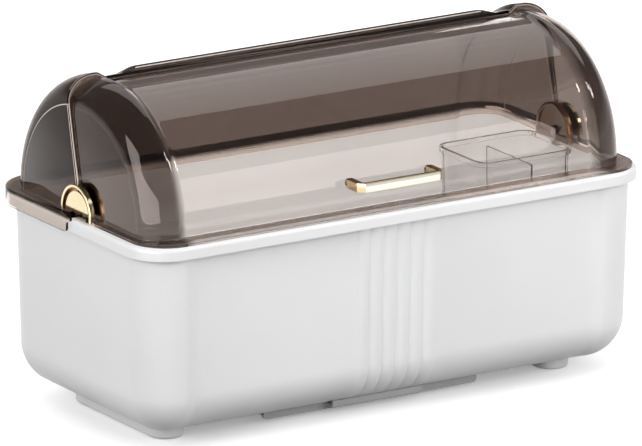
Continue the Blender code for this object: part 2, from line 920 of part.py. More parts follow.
def build_handle(parts, cutters, screw_cutter, mat):
    """Flat bar with chamfered corners, bent back at both ends to feet cut to the door's curve."""
    half = handle_length / 2
    front = -(door_middle_r + handle_reach)
    back = -(door_middle_r - handle_reach)
    outline = [(half, back), (half - handle_foot, back)]
    inner_front = front + handle_bar
    inner_half = half - handle_foot
    inner_r = handle_chamfer / 2
    for centre_x, start in ((inner_half - inner_r, 0), (-inner_half + inner_r, 90)):
        for step in range(4):
            turn = math.radians(-(start + 30 * step))
            outline.append((
                centre_x + inner_r * math.cos(turn),
                inner_front + inner_r + inner_r * math.sin(turn),
            ))
    outline += [(-inner_half, back), (-half, back)]
    outline.append((-half, front + handle_chamfer))
    outline.append((handle_chamfer - half, front))
    outline.append((half - handle_chamfer, front))
    outline.append((half, front + handle_chamfer))
    bm = bmesh.new()
    low = handle_z - handle_height / 2
    extrude_outline(bm, outline, low, low + handle_height, "Z")
    handle = add_object("door_handle", bm, parts, mat)
    edge = handle.modifiers.new("edges", "BEVEL")
    edge.width = handle_edge_r
    edge.segments = 2
    edge.limit_method = "ANGLE"
    edge.angle_limit = math.radians(50)

    face = bmesh.new()
    cylinder(
        face,
        door_middle_r + seat_gap,
        -handle_length,
        handle_length,
        direction="X",
        segments=120,
        at=(0, 0, axis_z),
    )
    boolean(handle, add_cutter("handle_seat", face, cutters), "DIFFERENCE")
    boolean(handle, screw_cutter, "DIFFERENCE")
    set_origin(handle, (0, 0, axis_z))
    return handle


def turned(name, profile, group, mat, segments=16):
    """Turned piece about its own Z axis, from a profile that runs down its outer side."""
    mesh = bpy.data.meshes.new(name)
    points = [(radius, 0, z) for radius, z in profile]
    mesh.from_pydata(points, [(i, i + 1) for i in range(len(points) - 1)], [])
    obj = bpy.data.objects.new(name, mesh)
    group.objects.link(obj)
    mesh.materials.append(mat)
    spin = obj.modifiers.new("turn", "SCREW")
    spin.steps = segments
    spin.render_steps = segments
    spin.use_merge_vertices = True
    spin.merge_threshold = weld_distance
    spin.use_smooth_shade = True
    return obj


def build_handle_screws(parts, mat):
    screws = []
    inside = door_middle_r - door_wall - seat_gap
    tip = door_middle_r + screw_grip
    profile = [
        (0, tip),
        (screw_r, tip),
        (screw_r, inside),
        (screw_head_r, inside),
        (screw_head_r, inside - screw_head_thickness / 2),
        (screw_head_r * screw_head_share, inside - screw_head_thickness),
        (0, inside - screw_head_thickness),
    ]
    for side, side_name in ((-1, "left"), (1, "right")):
        screw = turned("handle_screw_" + side_name, profile, parts, mat, segments=10)
        screw.rotation_euler = handle_direction().to_euler()
        screw.location = (side * screw_x, 0, axis_z)
        screws.append(screw)
    return screws


def build_pin(name, side, parts, mat):
    head_low = pin_head_x - pin_head_thickness
    profile = [
        (0, pin_end_x),
        (pin_r, pin_end_x),
        (pin_r, pin_head_x),
        (pin_head_r, pin_head_x),
        (pin_head_r, head_low + pin_head_thickness / 3),
        (pin_head_r - pin_head_thickness / 3, head_low),
        (0, head_low),
    ]
    pin = turned(name, profile, parts, mat)
    pin.rotation_euler = (0, side * math.radians(90), 0)
    pin.location = (0, 0, axis_z)
    return pin


def arch(radius, front_low, back_low, steps=14):
    """Half-round outline in the YZ plane over the pivot axis, with straight legs."""
    points = [(-radius, front_low)]
    for step in range(steps + 1):
        turn = math.radians(180 - 180 * step / steps)
        points.append((radius * math.cos(turn), axis_z + radius * math.sin(turn)))
    points.append((radius, back_low))
    return points


def build_cap(name, side, parts, cutters, mat):
    """Half-round outer cap: a raised arch with a sunk face and a slot below it."""
    inner_x = cap_inner_x
    outer_x = inner_x + cap_depth
    front_low = rim_top_z + seat_gap
    back_low = flange_top_z + skirt_bead + seat_gap
    outer = arch(cap_r, front_low, back_low)
    inner = arch(cap_r - cap_ring_width, front_low, back_low)
    bm = bmesh.new()
    low, high = sorted((side * inner_x, side * outer_x))
    extrude_outline(bm, outer + inner[::-1], low, high, "X")
    cap = add_object(name, bm, parts, mat)
    edge = cap.modifiers.new("edges", "BEVEL")
    edge.width = cap_edge_r
    edge.segments = 1
    edge.limit_method = "ANGLE"
    edge.angle_limit = math.radians(50)

    face = bmesh.new()
    face_low = flange_top_z + cap_slot_height / 2
    face_outline = arch(cap_r - cap_ring_width / 2, face_low, face_low)
    near = inner_x + seat_gap
    low, high = sorted((side * near, side * (near + cap_face_thickness)))
    extrude_outline(face, face_outline, low, high, "X")
    boolean(cap, add_cutter(name + "_face", face, cutters), "UNION")
    return cap


def build_plate(name, side, parts, cutters, mat):
    """Half-round inner plate that clamps the door's end wall to its pivot."""
    outer_x = plate_outer_x
    inner_x = plate_inner_x
    low_z = axis_z - plate_base_drop
    bm = bmesh.new()
    low, high = sorted((side * inner_x, side * outer_x))
    extrude_outline(bm, arch(plate_r, low_z, low_z), low, high, "X")
    plate = add_object(name, bm, parts, mat)

    sink = bmesh.new()
    sink_outline = arch(plate_r - plate_rim_width, axis_z - plate_sink, axis_z - plate_sink)
    low, high = sorted((side * (inner_x - cut_overrun), side * (inner_x + plate_sink)))
    extrude_outline(sink, sink_outline, low, high, "X")
    sink_obj = add_cutter(name + "_sink", sink, cutters)
    seat = bmesh.new()
    cylinder(seat, pin_head_r + seat_gap, low, high, direction="X", segments=20, at=(0, 0, axis_z))
    hole = bmesh.new()
    low, high = sorted((side * (inner_x - cut_overrun), side * (outer_x + cut_overrun)))
    cylinder(hole, hole_r, low, high, direction="X", segments=16, at=(0, 0, axis_z))
    boolean(plate, sink_obj, "DIFFERENCE")
    boolean(plate, add_cutter(name + "_pin_seat", seat, cutters), "DIFFERENCE")
    boolean(plate, add_cutter(name + "_hole", hole, cutters), "DIFFERENCE")
    set_origin(plate, (0, 0, axis_z))
    return plate


def build_rack(parts, cutters, mat):
    bm = bmesh.new()
    low = rack_top_z - rack_thickness
    high = rack_top_z + rack_wall_height

    def ring(inset, z):
        outline = rounded_outline(rack_length - 2 * inset, rack_depth - 2 * inset, rack_corner_r - inset, 5)
        return [(x, y, z) for x, y in outline]

    loft(bm, [ring(0.0, low), ring(0.0, high), ring(rack_wall, high), ring(rack_wall, rack_top_z)])
    rack = add_object("drain_rack", bm, parts, mat)

    slots = bmesh.new()
    for column in range(slot_columns):
        x = slot_column_pitch * (column - (slot_columns - 1) / 2)
        for row in range(slot_rows):
            y = slot_pitch * (row - (slot_rows - 1) / 2)
            size = (slot_length, slot_width, rack_thickness + 2 * cut_overrun)
            box(slots, size, (x, y, rack_top_z - rack_thickness / 2))
    boolean(rack, add_cutter("rack_slots", slots, cutters), "DIFFERENCE")

    legs = bmesh.new()
    foot_z = floor_top_z + seat_gap
    for x in (-rack_leg_x, 0, rack_leg_x):
        for y in (-rack_leg_y, rack_leg_y):
            cylinder(
                legs,
                rack_leg_tip_r,
                foot_z,
                rack_top_z - rack_thickness / 2,
                segments=10,
                tip_radius=rack_leg_r,
                at=(x, y, 0),
            )
    boolean(rack, add_cutter("rack_legs", legs, cutters), "UNION")
    return rack


def build_comb(name, x, parts, cutters, mat):
    """Comb of upright teeth that clips into the rack's slots and holds plates on edge."""
    bar_low = rack_top_z + seat_gap
    bar_high = bar_low + comb_bar_height
    bm = bmesh.new()
    box(bm, (comb_bar_width, comb_bar_length, comb_bar_height), (x, 0, (bar_low + bar_high) / 2))
    comb = add_object(name, bm, parts, mat)
    teeth = bmesh.new()
    segments = 8
    tooth_shares = ((1.0, 0.0), (tooth_tip_share, tooth_taper_share), (tooth_end_share, 1.0))
    for tooth in range(comb_teeth):
        y = slot_pitch * (tooth - (comb_teeth - 1) / 2)
        rings = []
        for share, height_share in tooth_shares:
            z = bar_high - comb_bar_height / 2 + height_share * (tooth_height + comb_bar_height / 2)
            rings.append([
                (
                    x + tooth_root_x / 2 * share * math.cos(math.tau * i / segments),
                    y + tooth_root_y / 2 * share * math.sin(math.tau * i / segments),
                    z,
                )
                for i in range(segments)
            ])
        loft(teeth, rings)
    boolean(comb, add_cutter(name + "_teeth", teeth, cutters), "UNION")
    clips = bmesh.new()
    clip_width = slot_width - 2 * seat_gap
    clip_low = rack_top_z - rack_thickness - seat_gap
    for end in (-1, 1):
        y = end * slot_pitch * (slot_rows - 3) / 2
        middle = (x, y, (clip_low + bar_low + comb_bar_height / 2) / 2)
        height = bar_low + comb_bar_height / 2 - clip_low
        box(clips, (comb_bar_width * clip_width_share, clip_width, height), middle)
    boolean(comb, add_cutter(name + "_clips", clips, cutters), "UNION")
    return comb


def build_caddy(parts, cutters, mat):
    bm = bmesh.new()
    base = rack_top_z + seat_gap + caddy_foot_height
    bead_low = caddy_top_z - caddy_bead_height

    def ring(inset, z):
        lean = caddy_draft * (caddy_top_z - z) / (caddy_top_z - base)
        pull_in = inset + lean + caddy_bead
        outline = rounded_outline(
            caddy_length - 2 * pull_in,
            caddy_depth - 2 * pull_in,
            caddy_corner_r - pull_in + caddy_bead,
            5,
        )
        return [(x + caddy_x, y + caddy_y, z) for x, y in outline]

    floor_z = base + caddy_wall
    loft(bm, [
        ring(caddy_wall, base),
        ring(0.0, base + caddy_wall),
        ring(0.0, bead_low),
        ring(-caddy_bead, bead_low),
        ring(-caddy_bead, caddy_top_z),
        ring(caddy_wall, caddy_top_z),
        ring(caddy_wall, floor_z + caddy_wall),
        ring(2 * caddy_wall, floor_z),
    ])
    caddy = add_object("cutlery_caddy", bm, parts, mat)

    wall = bmesh.new()
    top = bead_low - caddy_bead_height
    depth = caddy_depth - 2 * (caddy_bead + caddy_wall / 2) - 2 * caddy_draft
    low = base + caddy_wall / 2
    middle = (caddy_x + caddy_divider_x, caddy_y, (low + top) / 2)
    verts = box(wall, (caddy_wall, depth, top - low), middle)
    for vert in verts:
        if vert.co.z > middle[2]:
            vert.co.y = caddy_y + (vert.co.y - caddy_y) * (1 + 2 * caddy_draft / depth)
    boolean(caddy, add_cutter("caddy_divider", wall, cutters), "UNION")

    feet = bmesh.new()
    for sx in (-1, 1):
        for sy in (-1, 1):
            x = caddy_x + sx * (caddy_length / 2 - caddy_corner_r - caddy_bead)
            y = caddy_y + sy * (caddy_depth / 2 - caddy_corner_r - caddy_bead)
            low = rack_top_z + seat_gap
            cylinder(feet, caddy_foot_r, low, base + caddy_wall / 2, segments=10, at=(x, y, 0))
    boolean(caddy, add_cutter("caddy_feet", feet, cutters), "UNION")

    holes = bmesh.new()
    for column in range(-2, 3):
        for row in range(-1, 2):
            if column == 0:
                continue
            x = caddy_x + caddy_divider_x + caddy_hole_pitch * column - caddy_hole * (column == 2)
            y = caddy_y + caddy_hole_pitch * row
            size = (caddy_hole, caddy_hole, 2 * caddy_wall + 2 * cut_overrun)
            box(holes, size, (x, y, base + caddy_wall))
    boolean(caddy, add_cutter("caddy_holes", holes, cutters), "DIFFERENCE")
    return caddy


def centre_on_box(objects):
    """Hangs all pieces on one frame that puts the box's middle over the origin."""
    frame = bpy.data.objects.new("drainer_frame", None)
    bpy.context.scene.collection.objects.link(frame)
    frame.location = (0, -skirt_stand_out / 2, 0)
    for obj in objects:
        obj.parent = frame


def main():
    clear_scene()
    parts = new_collection(PART_NAME)
    cutters = new_collection("cutters")
    white = make_material("white_plastic", (0.86, 0.86, 0.85), 0.32)
    rack_white = make_material("rack_plastic", (0.8, 0.8, 0.79), 0.4)
    grey = make_material("tray_plastic", (0.42, 0.42, 0.42), 0.4)
    rubber = make_material("pad_rubber", (0.05, 0.05, 0.05), 0.8)
    smoke = make_material("smoke_plastic", (0.16, 0.12, 0.10), 0.05, alpha=0.4)
    frost = make_material("caddy_plastic", (0.55, 0.54, 0.53), 0.3, alpha=0.6)
    gold = make_material("gilt_metal", (0.83, 0.64, 0.33), 0.18, metallic=1.0)
    steel = make_material("screw_steel", (0.6, 0.6, 0.6), 0.3, metallic=1.0)

    build_tub(parts, cutters, white)
    build_foot_rail("foot_rail_left", -1, parts, cutters, white)
    build_foot_rail("foot_rail_right", 1, parts, cutters, white)
    build_pads(parts, rubber)
    build_drip_tray(parts, cutters, grey)
    build_runner("tray_runner_left", -1, parts, white)
    build_runner("tray_runner_right", 1, parts, white)
    build_rack(parts, cutters, rack_white)
    build_comb("plate_comb_left", comb_middle_x - comb_spacing / 2, parts, cutters, rack_white)
    build_comb("plate_comb_right", comb_middle_x + comb_spacing / 2, parts, cutters, rack_white)
    build_caddy(parts, cutters, frost)
    build_rear_cover(parts, cutters, smoke)
    screw_cutter = build_front_door(parts, cutters, smoke)[1]
    build_handle(parts, cutters, screw_cutter, gold)
    build_handle_screws(parts, steel)
    for side, side_name in ((-1, "left"), (1, "right")):
        build_cap("hinge_cap_" + side_name, side, parts, cutters, gold)
        build_plate("hinge_plate_" + side_name, side, parts, cutters, gold)
        build_pin("hinge_pin_" + side_name, side, parts, steel)
    centre_on_box(list(parts.objects) + list(cutters.objects))


main()
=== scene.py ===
"""Looks of the covered dish drainer: finish of every surface, finer tub, lid and gilt pieces,
studio light and the camera of the photograph. Units are metres."""

import json
import math

import bmesh
import bpy
from mathutils import Matrix, Vector


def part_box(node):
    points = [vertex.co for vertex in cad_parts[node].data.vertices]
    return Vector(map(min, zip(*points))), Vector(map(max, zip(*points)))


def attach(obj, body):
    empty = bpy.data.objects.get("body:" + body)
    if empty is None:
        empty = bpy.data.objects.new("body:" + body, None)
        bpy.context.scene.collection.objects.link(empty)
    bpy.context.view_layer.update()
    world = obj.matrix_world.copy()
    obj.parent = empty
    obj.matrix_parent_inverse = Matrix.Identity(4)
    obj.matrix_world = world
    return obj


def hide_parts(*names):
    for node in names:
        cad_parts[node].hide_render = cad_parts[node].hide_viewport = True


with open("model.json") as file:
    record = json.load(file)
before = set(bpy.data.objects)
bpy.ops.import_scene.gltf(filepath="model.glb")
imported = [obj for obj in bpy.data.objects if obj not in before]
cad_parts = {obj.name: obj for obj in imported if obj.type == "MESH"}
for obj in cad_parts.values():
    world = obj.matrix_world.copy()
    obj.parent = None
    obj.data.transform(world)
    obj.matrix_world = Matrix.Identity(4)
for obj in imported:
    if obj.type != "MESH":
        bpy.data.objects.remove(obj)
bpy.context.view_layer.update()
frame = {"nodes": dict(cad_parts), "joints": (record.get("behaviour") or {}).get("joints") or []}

# Places that come from the frame
tub_low, tub_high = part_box("tub")
rail_low, rail_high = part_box("foot_rail_left")
middle_y = (tub_low.y + tub_high.y) / 2
axis_z = [j for j in frame["joints"] if j["name"] == "door_hinge"][0]["pos_m"][2]
rim_top_z = tub_high.z
foot_height = tub_low.z
rim_length = tub_high.x - tub_low.x
rim_depth = tub_high.y - tub_low.y

# Tub
rim_corner_r = 0.037
rim_lip_drop = 0.0103
rim_lip_thickness = 0.0024
rim_edge_r = 0.0034
tub_wall = 0.0026
rim_overhang_end = 0.0048
rim_overhang_side = 0.007
body_corner_r = 0.034
body_bottom_r = 0.036
body_draft_share = 0.02
inner_edge_r = 0.0012
panel_end_margin = 0.0405
panel_recess = 0.0032
panel_step_width = 0.0127
flute_count = 6
flute_pitch = 0.0131
flute_height = 0.0018
flute_fade = 0.012
drain_hole_r = 0.0019
drain_ring_r = 0.011
drain_ring_holes = 8
stud_hole_r = 0.0043
stud_end_margin = 0.026

# Overrun of cuts, gap between seated pieces, and distances that count as touching
cut_overrun = 0.002
seat_gap = 0.0003
weld = 0.00005
merge_distance = weld / 10

# Lid
lid_side_margin = 0.013
hump_step = 0.0045
lid_end_margin = 0.0095
cover_wall = 0.0024
shoulder_reach = 0.027
shoulder_rise = 0.022
door_shoulder_reach = 0.0414
door_shoulder_rise = 0.0274
crease_width = 0.0009
crease_depth = 0.0004
hump_width = 0.0305
hump_step_width = 0.0095
door_clearance = 0.001
door_wall = 0.0022
cover_edge_deg = 78
door_overlap_deg = 4
lid_facet_deg = 2
lid_lip_drop = 0.004
ridge_height = 0.0045
ridge_end_margin = 0.048
ridge_fade = 0.023
ridge_sweep_deg = 6
ridge_root = 0.0012
ridge_line_share = 0.62
flange_thickness = 0.0024
skirt_thickness = 0.0021
skirt_clearance = 0.0004
skirt_extra_drop = 0.0008
skirt_bead = 0.0003
skirt_edge_r = 0.001
skirt_front_y = 0.0005
skirt_corner_r = 0.004
skirt_hook_reach = 0.006
skirt_hook_height = 0.004
door_flange_inset_end = 0.0055
door_flange_inset_front = 0.002
door_flange_thickness = 0.0022
door_flange_start = 0.027
hub_r = 0.013
hub_proud = 0.0003
hole_r = 0.0028

# Handle
handle_rise = 0.0187
handle_height = 0.008
handle_reach = 0.0195
handle_bar = 0.0045
handle_foot = 0.006
handle_chamfer = 0.0054
handle_length = 0.083
handle_edge_r = 0.0005
screw_hole_r = 0.0018
screw_x = 0.0385

# Hinge caps
cap_r = 0.0235
cap_forward = 0.0025
cap_ring_width = 0.0028
cap_depth = 0.0043
cap_edge_r = 0.0007
cap_groove_width = 0.003
cap_face_depth = 0.0026
cap_back_depth = 0.0009
cap_slot_height = 0.0042

# Rounded edges of the solids that are kept in shape
rail_edge_r = 0.0006
runner_edge_r = 0.0003
comb_edge_r = 0.0004
plate_edge_r = 0.0006
tray_edge_r = 0.0005
rack_edge_r = 0.0004

# Facets: counts of steps along a curve, or round a full circle
TUB_CORNER_STEPS = 20
BOTTOM_STEPS = 18
PANEL_STEPS = 10
FLUTE_STEPS = 12
FADE_STEPS = 3
RIM_EDGE_STEPS = 8
LEDGE_CORNER_STEPS = 18
SHOULDER_STEPS = 36
HUMP_STEPS = 14
RIDGE_FADE_STEPS = 14
SKIRT_STEPS = 8
ARCH_STEPS = 40
CAP_EDGE_STEPS = 4
BEND_STEPS = 8
HANDLE_BEVEL_STEPS = 3
SOFT_BEVEL_STEPS = 2
DRAIN_FACETS = 20
STUD_FACETS = 24
HUB_FACETS = 64
PIN_FACETS = 32
SCREW_FACETS = 20
SEAT_FACETS = 240

# Angles in radians at which the skirt's top edge is rounded
SKIRT_EDGE_TURNS = (0.5, 1.05)

# Angles in degrees over which an edge is shaded sharp or bevelled, or under which faces merge
SHARP_DEG = 35
LID_SHARP_DEG = 30
SOFT_SHARP_DEG = 40
HANDLE_BEVEL_DEG = 40
SOFT_BEVEL_DEG = 50
MERGE_DEG = 0.5

# Least part of a normal that makes a face look one way
FACING = 0.9

# Parts of a cut wall's thickness between which it stays dark; outside them the cut face on the
# end humps gets a painted highlight
CUT_SHARES = (0.22, 0.6)

# Ridge: shares of its sweep, and its height at each as a share. The last two make its front
# # face, of which the part above ridge_line_share gets a painted highlight.
RIDGE_FRONT_SHARE = 1.05
RIDGE_PROFILE = (
    (0, 0.0), (0.08, 0.3), (0.18, 0.65), (0.3, 0.92), (0.42, 1.0), (0.9, 1.0), (1.0, 0.93),
    (RIDGE_FRONT_SHARE, 0.8), (RIDGE_FRONT_SHARE + 0.001, ridge_line_share),
)

# Colours
WHITE = (0.80, 0.80, 0.805)
RACK_WHITE = (0.74, 0.73, 0.715)
TRAY_GREY = (0.43, 0.43, 0.43)
PAD_BLACK = (0.045, 0.045, 0.045)
GOLD = (0.74, 0.64, 0.41)
# Handle gilt: a paler copy on the front face as painted highlight, a darker warm copy on the
# other faces as painted shade
HANDLE_HIGHLIGHT_GOLD = (0.66, 0.64, 0.53)
HANDLE_SHADE_GOLD = (0.66, 0.5, 0.3)
COPPER_GOLD = (0.52, 0.28, 0.14)
# Painted reflection: dark bronze on the hinge plates' faces that look into the lid
PLATE_DARK_REFLECTION = (0.17, 0.11, 0.08)
# Painted shade: darker gilt for the caps' groove and the inside of their ring
CAP_RECESS_SHADE = (0.34, 0.20, 0.10)
# Painted highlights: pale opaque colours on the clear lids' cut faces, crease and ridge strip,
# the second one dimmer
EDGE_HIGHLIGHT = (0.62, 0.54, 0.49)
EDGE_HIGHLIGHT_DIM = (0.3, 0.245, 0.215)
PIN_STEEL = (0.25, 0.21, 0.19)
SCREW_STEEL = (0.62, 0.61, 0.6)
SMOKE = (0.1, 0.073, 0.061)
CADDY_GREY = (0.89, 0.89, 0.89)

# Finishes: spread of the colour, roughness, scale of the moulded grain and strength of its bump
WHITE_FINISH = dict(spread=0.012, roughness=0.34, roughness_spread=0.04, grain=900, bump=0.05)
RACK_FINISH = dict(spread=0.02, roughness=0.42, roughness_spread=0.05, grain=1200, bump=0.08)
TRAY_FINISH = dict(spread=0.03, roughness=0.42, roughness_spread=0.05, grain=1400, bump=0.1)
PAD_FINISH = dict(spread=0.1, roughness=0.8, roughness_spread=0.08, grain=2500, bump=0.3)
EDGE_HIGHLIGHT_FINISH = dict(
    spread=0.04, roughness=0.25, roughness_spread=0.05, grain=2000, bump=0.02, patch_scale=60,
)
GILT_FINISH = dict(
    spread=0.03, roughness=0.14, roughness_spread=0.05, grain=1800, bump=0.02, patch_scale=40,
    metallic=1.0,
)
CAP_RECESS_SHADE_FINISH = dict(
    spread=0.08, roughness=0.25, roughness_spread=0.05, grain=1800, bump=0.02, patch_scale=60,
    metallic=1.0,
)
STEEL_FINISH = dict(
    spread=0.04, roughness=0.28, roughness_spread=0.05, grain=2200, bump=0.04, patch_scale=60,
    metallic=1.0,
)
WHITE_IOR = 1.49
WHITE_COAT = 0.15
WHITE_COAT_ROUGHNESS = 0.2
GLOSS_SCALE_RATIO = 5
PATCH_DETAIL = 4
GRAIN_DETAIL = 2
GRAIN_HEIGHT = 0.0002
NOISE_MIDDLE = (0.3, 0.7)

# Clear plastics: tints of the middle, of the end humps and of the skirt, and of passing light.
# # The door's darker end-hump tint is painted shade; the tint low down over the rim is painted
# # light on the cover's skirt and painted shade on the door's low edge.
COVER_CLEAR = dict(
    tint=SMOKE, end_shade_tint=SMOKE, low_light_shade_tint=(0.82, 0.74, 0.68), lamp_tint=(0.93, 0.91, 0.9),
    roughness=0.0, ior=1.25,
)
# Door: the much darker tint on the end humps and the darker tint low down are painted shade
DOOR_CLEAR = dict(
    tint=(0.87, 0.82, 0.79), end_shade_tint=(0.18, 0.143, 0.128), low_light_shade_tint=(0.6, 0.53, 0.48),
    lamp_tint=(1.0, 0.99, 0.98), roughness=0.0, ior=1.46,
)
CADDY_CLEAR = dict(
    tint=CADDY_GREY, end_shade_tint=CADDY_GREY, low_light_shade_tint=CADDY_GREY, lamp_tint=(0.9, 0.9, 0.9),
    roughness=0.04, ior=1.4,
)
CLEAR_SPECULAR_TINT = (1.0, 0.9, 0.86, 1)
SKIRT_TINT_SPAN = (rim_top_z - 0.001, rim_top_z + 0.0015)

# Camera, fitted to the photograph
IMAGE_WIDTH = 642
IMAGE_HEIGHT = 446
SENSOR_WIDTH = 0.036
CAMERA_DISTANCE = 10.0
CAMERA_REACH = 100
CAMERA_YAW = math.radians(-32.232)
CAMERA_ELEVATION = math.radians(16.021)
CAMERA_ROLL = math.radians(0.119)
CAMERA_FOCAL_PIXELS = 12099
TARGET_Z = 0.150
TARGET_PIXEL = (323.509, 209.379)
MM_PER_M = 1000

# Backdrop and floor, as parts of full white; the fade runs over the height of a direction
WORLD_LIGHT = 0.76
WORLD_TOP = 0.15
WORLD_FADE = (0.05, 0.25)
FLOOR_BOUNCE = 0.08
FLOOR_WHITE = 0.97
FLOOR_GLOW = 0.26
FLOOR_HALF_SIZE = 6

# Lamps: place, aim, size and watts
LAMPS = (
    ("left_key", (-1.62, -0.56, 0.78), (0, 0, 0.12), (0.7, 0.7), 12.5),
    ("front_fill", (0.4, -1.1, 0.5), (0.24, -0.1, 0.1), (0.8, 0.6), 6.8),
    ("right_rear_fill", (1.35, 1.25, 0.5), (0.1, 0, 0.12), (0.7, 0.6), 4.5),
    ("rear_fill", (0.0, 1.5, 0.75), (0, 0, 0.1), (1.1, 0.7), 5.0),
)

# Small cards that make the glints: place, aim, size and watts
GLINTS = (
    ("left_glint", (1.75, -1.12, 1.5), (0, 0, 0.2), (0.36, 0.36), 17),
    ("right_glint", (0.75, -1.45, 2.0), (0, 0, 0.2), (0.3, 0.3), 12),
)

# Large cards, the one overhead in strips: two corners, the way they face, and brightness
CARDS = (
    ("top_card", (0.1, 0.0, 2.2), (3.2, 0.7, 2.2), (0, 0, -1), 1.9),
    ("top_card", (0.1, 0.7, 2.2), (3.2, 1.15, 2.2), (0, 0, -1), 1.75),
    ("top_card", (0.1, 1.15, 2.2), (3.2, 1.7, 2.2), (0, 0, -1), 1.55),
    ("top_card", (0.1, 1.7, 2.2), (3.2, 2.65, 2.2), (0, 0, -1), 1.3),
    ("left_card_tall", (-1.5, -0.65, 0.0), (-1.5, 0.1, 1.6), (1, 0, 0), 4.8),
    ("left_card_low", (-1.5, -2.5, 0.0), (-1.5, -0.65, 0.9), (1, 0, 0), 4.8),
)

# Sizes that follow
body_length = rim_length - 2 * rim_overhang_end
body_depth = rim_depth - 2 * rim_overhang_side
panel_length = rim_length - 2 * panel_end_margin
lip_bottom_z = rim_top_z - rim_lip_drop
floor_top_z = foot_height + tub_wall
foot_rail_x = (rail_low.x + rail_high.x) / 2
stud_spacing = rail_high.y - rail_low.y - 2 * stud_end_margin
cover_hump_r = rim_depth / 2 - lid_side_margin
cover_middle_r = cover_hump_r - hump_step
cover_end_x = rim_length / 2 - lid_end_margin
hump_step_outer_x = cover_end_x - hump_width
hump_step_inner_x = hump_step_outer_x - hump_step_width
ridge_end_x = cover_end_x - ridge_end_margin
ridge_flat_x = ridge_end_x - ridge_fade
flange_bottom_z = rim_top_z + seat_gap
flange_top_z = flange_bottom_z + flange_thickness
lid_lip_z = rim_top_z - lid_lip_drop
skirt_stand_out = skirt_clearance + skirt_thickness
skirt_length = rim_length + 2 * skirt_stand_out
skirt_depth = rim_depth + 2 * skirt_stand_out
skirt_bottom_z = lip_bottom_z - skirt_extra_drop
door_offset = cover_wall + door_clearance
door_end_x = cover_end_x - door_offset
door_middle_r = cover_middle_r - door_offset
door_edge_deg = cover_edge_deg - door_overlap_deg
cover_shoulder = (shoulder_reach, shoulder_rise)
door_shoulder = (door_shoulder_reach, door_shoulder_rise)
handle_z = axis_z + handle_rise
cap_inner_x = cover_end_x + hub_proud + seat_gap


# ---- materials ----

def new_material(name):
    mat = bpy.data.materials.new(name)
    mat.use_nodes = True
    return mat, mat.node_tree, mat.node_tree.nodes["Principled BSDF"]


def connect(tree, node, key, value):
    """Links an input to another node's output, or gives it a plain value."""
    if isinstance(value, bpy.types.NodeSocket):
        tree.links.new(value, node.inputs[key])
    else:
        node.inputs[key].default_value = value


def math_node(tree, operation, first, second=None):
    node = tree.nodes.new("ShaderNodeMath")
    node.operation = operation
    connect(tree, node, 0, first)
    if second is not None:
        connect(tree, node, 1, second)
    return node.outputs["Value"]


def mix_colors(tree, factor, first, second):
    node = tree.nodes.new("ShaderNodeMix")
    node.data_type = "RGBA"
    connect(tree, node, "Factor", factor)
    connect(tree, node, "A", first)
    connect(tree, node, "B", second)
    return node.outputs["Result"]


def map_range(tree, value, from_low, from_high, to_low=0.0, to_high=1.0):
    node = tree.nodes.new("ShaderNodeMapRange")
    connect(tree, node, "Value", value)
    connect(tree, node, "From Min", from_low)
    connect(tree, node, "From Max", from_high)
    connect(tree, node, "To Min", to_low)
    connect(tree, node, "To Max", to_high)
    return node.outputs["Result"]


def split_place(tree, kind):
    """X, Y and Z of a texture coordinate."""
    coords = tree.nodes.new("ShaderNodeTexCoord")
    split = tree.nodes.new("ShaderNodeSeparateXYZ")
    tree.links.new(coords.outputs[kind], split.inputs["Vector"])
    return split.outputs


def noise(tree, scale, detail):
    coords = tree.nodes.new("ShaderNodeTexCoord")
    node = tree.nodes.new("ShaderNodeTexNoise")
    node.inputs["Scale"].default_value = scale
    node.inputs["Detail"].default_value = detail
    tree.links.new(coords.outputs["Object"], node.inputs["Vector"])
    return node.outputs["Fac"]


def ramp(tree, source, low, high):
    """Maps a noise's middle range onto two colours."""
    node = tree.nodes.new("ShaderNodeValToRGB")
    for element, position, color in zip(node.color_ramp.elements, NOISE_MIDDLE, (low, high)):
        element.position = position
        element.color = (*color, 1)
    tree.links.new(source, node.inputs["Fac"])
    return node.outputs["Color"]


def surface(
    name, color, spread, roughness, roughness_spread, grain, bump, patch_scale=14, metallic=0.0
):
    """Material with soft colour patches, uneven gloss and a fine moulded grain."""
    mat, tree, shader = new_material(name)
    low = tuple(c * (1 - spread) for c in color)
    high = tuple(min(c * (1 + spread), 1) for c in color)
    patches = noise(tree, patch_scale, PATCH_DETAIL)
    connect(tree, shader, "Base Color", ramp(tree, patches, low, high))
    low = (roughness - roughness_spread,) * 3
    high = (roughness + roughness_spread,) * 3
    gloss = noise(tree, patch_scale * GLOSS_SCALE_RATIO, PATCH_DETAIL)
    connect(tree, shader, "Roughness", ramp(tree, gloss, low, high))
    bumps = tree.nodes.new("ShaderNodeBump")
    connect(tree, bumps, "Strength", bump)
    connect(tree, bumps, "Distance", GRAIN_HEIGHT)
    connect(tree, bumps, "Height", noise(tree, grain, GRAIN_DETAIL))
    connect(tree, shader, "Normal", bumps.outputs["Normal"])
    connect(tree, shader, "Metallic", metallic)
    return mat


def white_plastic():
    mat = surface("white_plastic", WHITE, **WHITE_FINISH)
    shader = mat.node_tree.nodes["Principled BSDF"]
    shader.inputs["IOR"].default_value = WHITE_IOR
    shader.inputs["Coat Weight"].default_value = WHITE_COAT
    shader.inputs["Coat Roughness"].default_value = WHITE_COAT_ROUGHNESS
    return mat


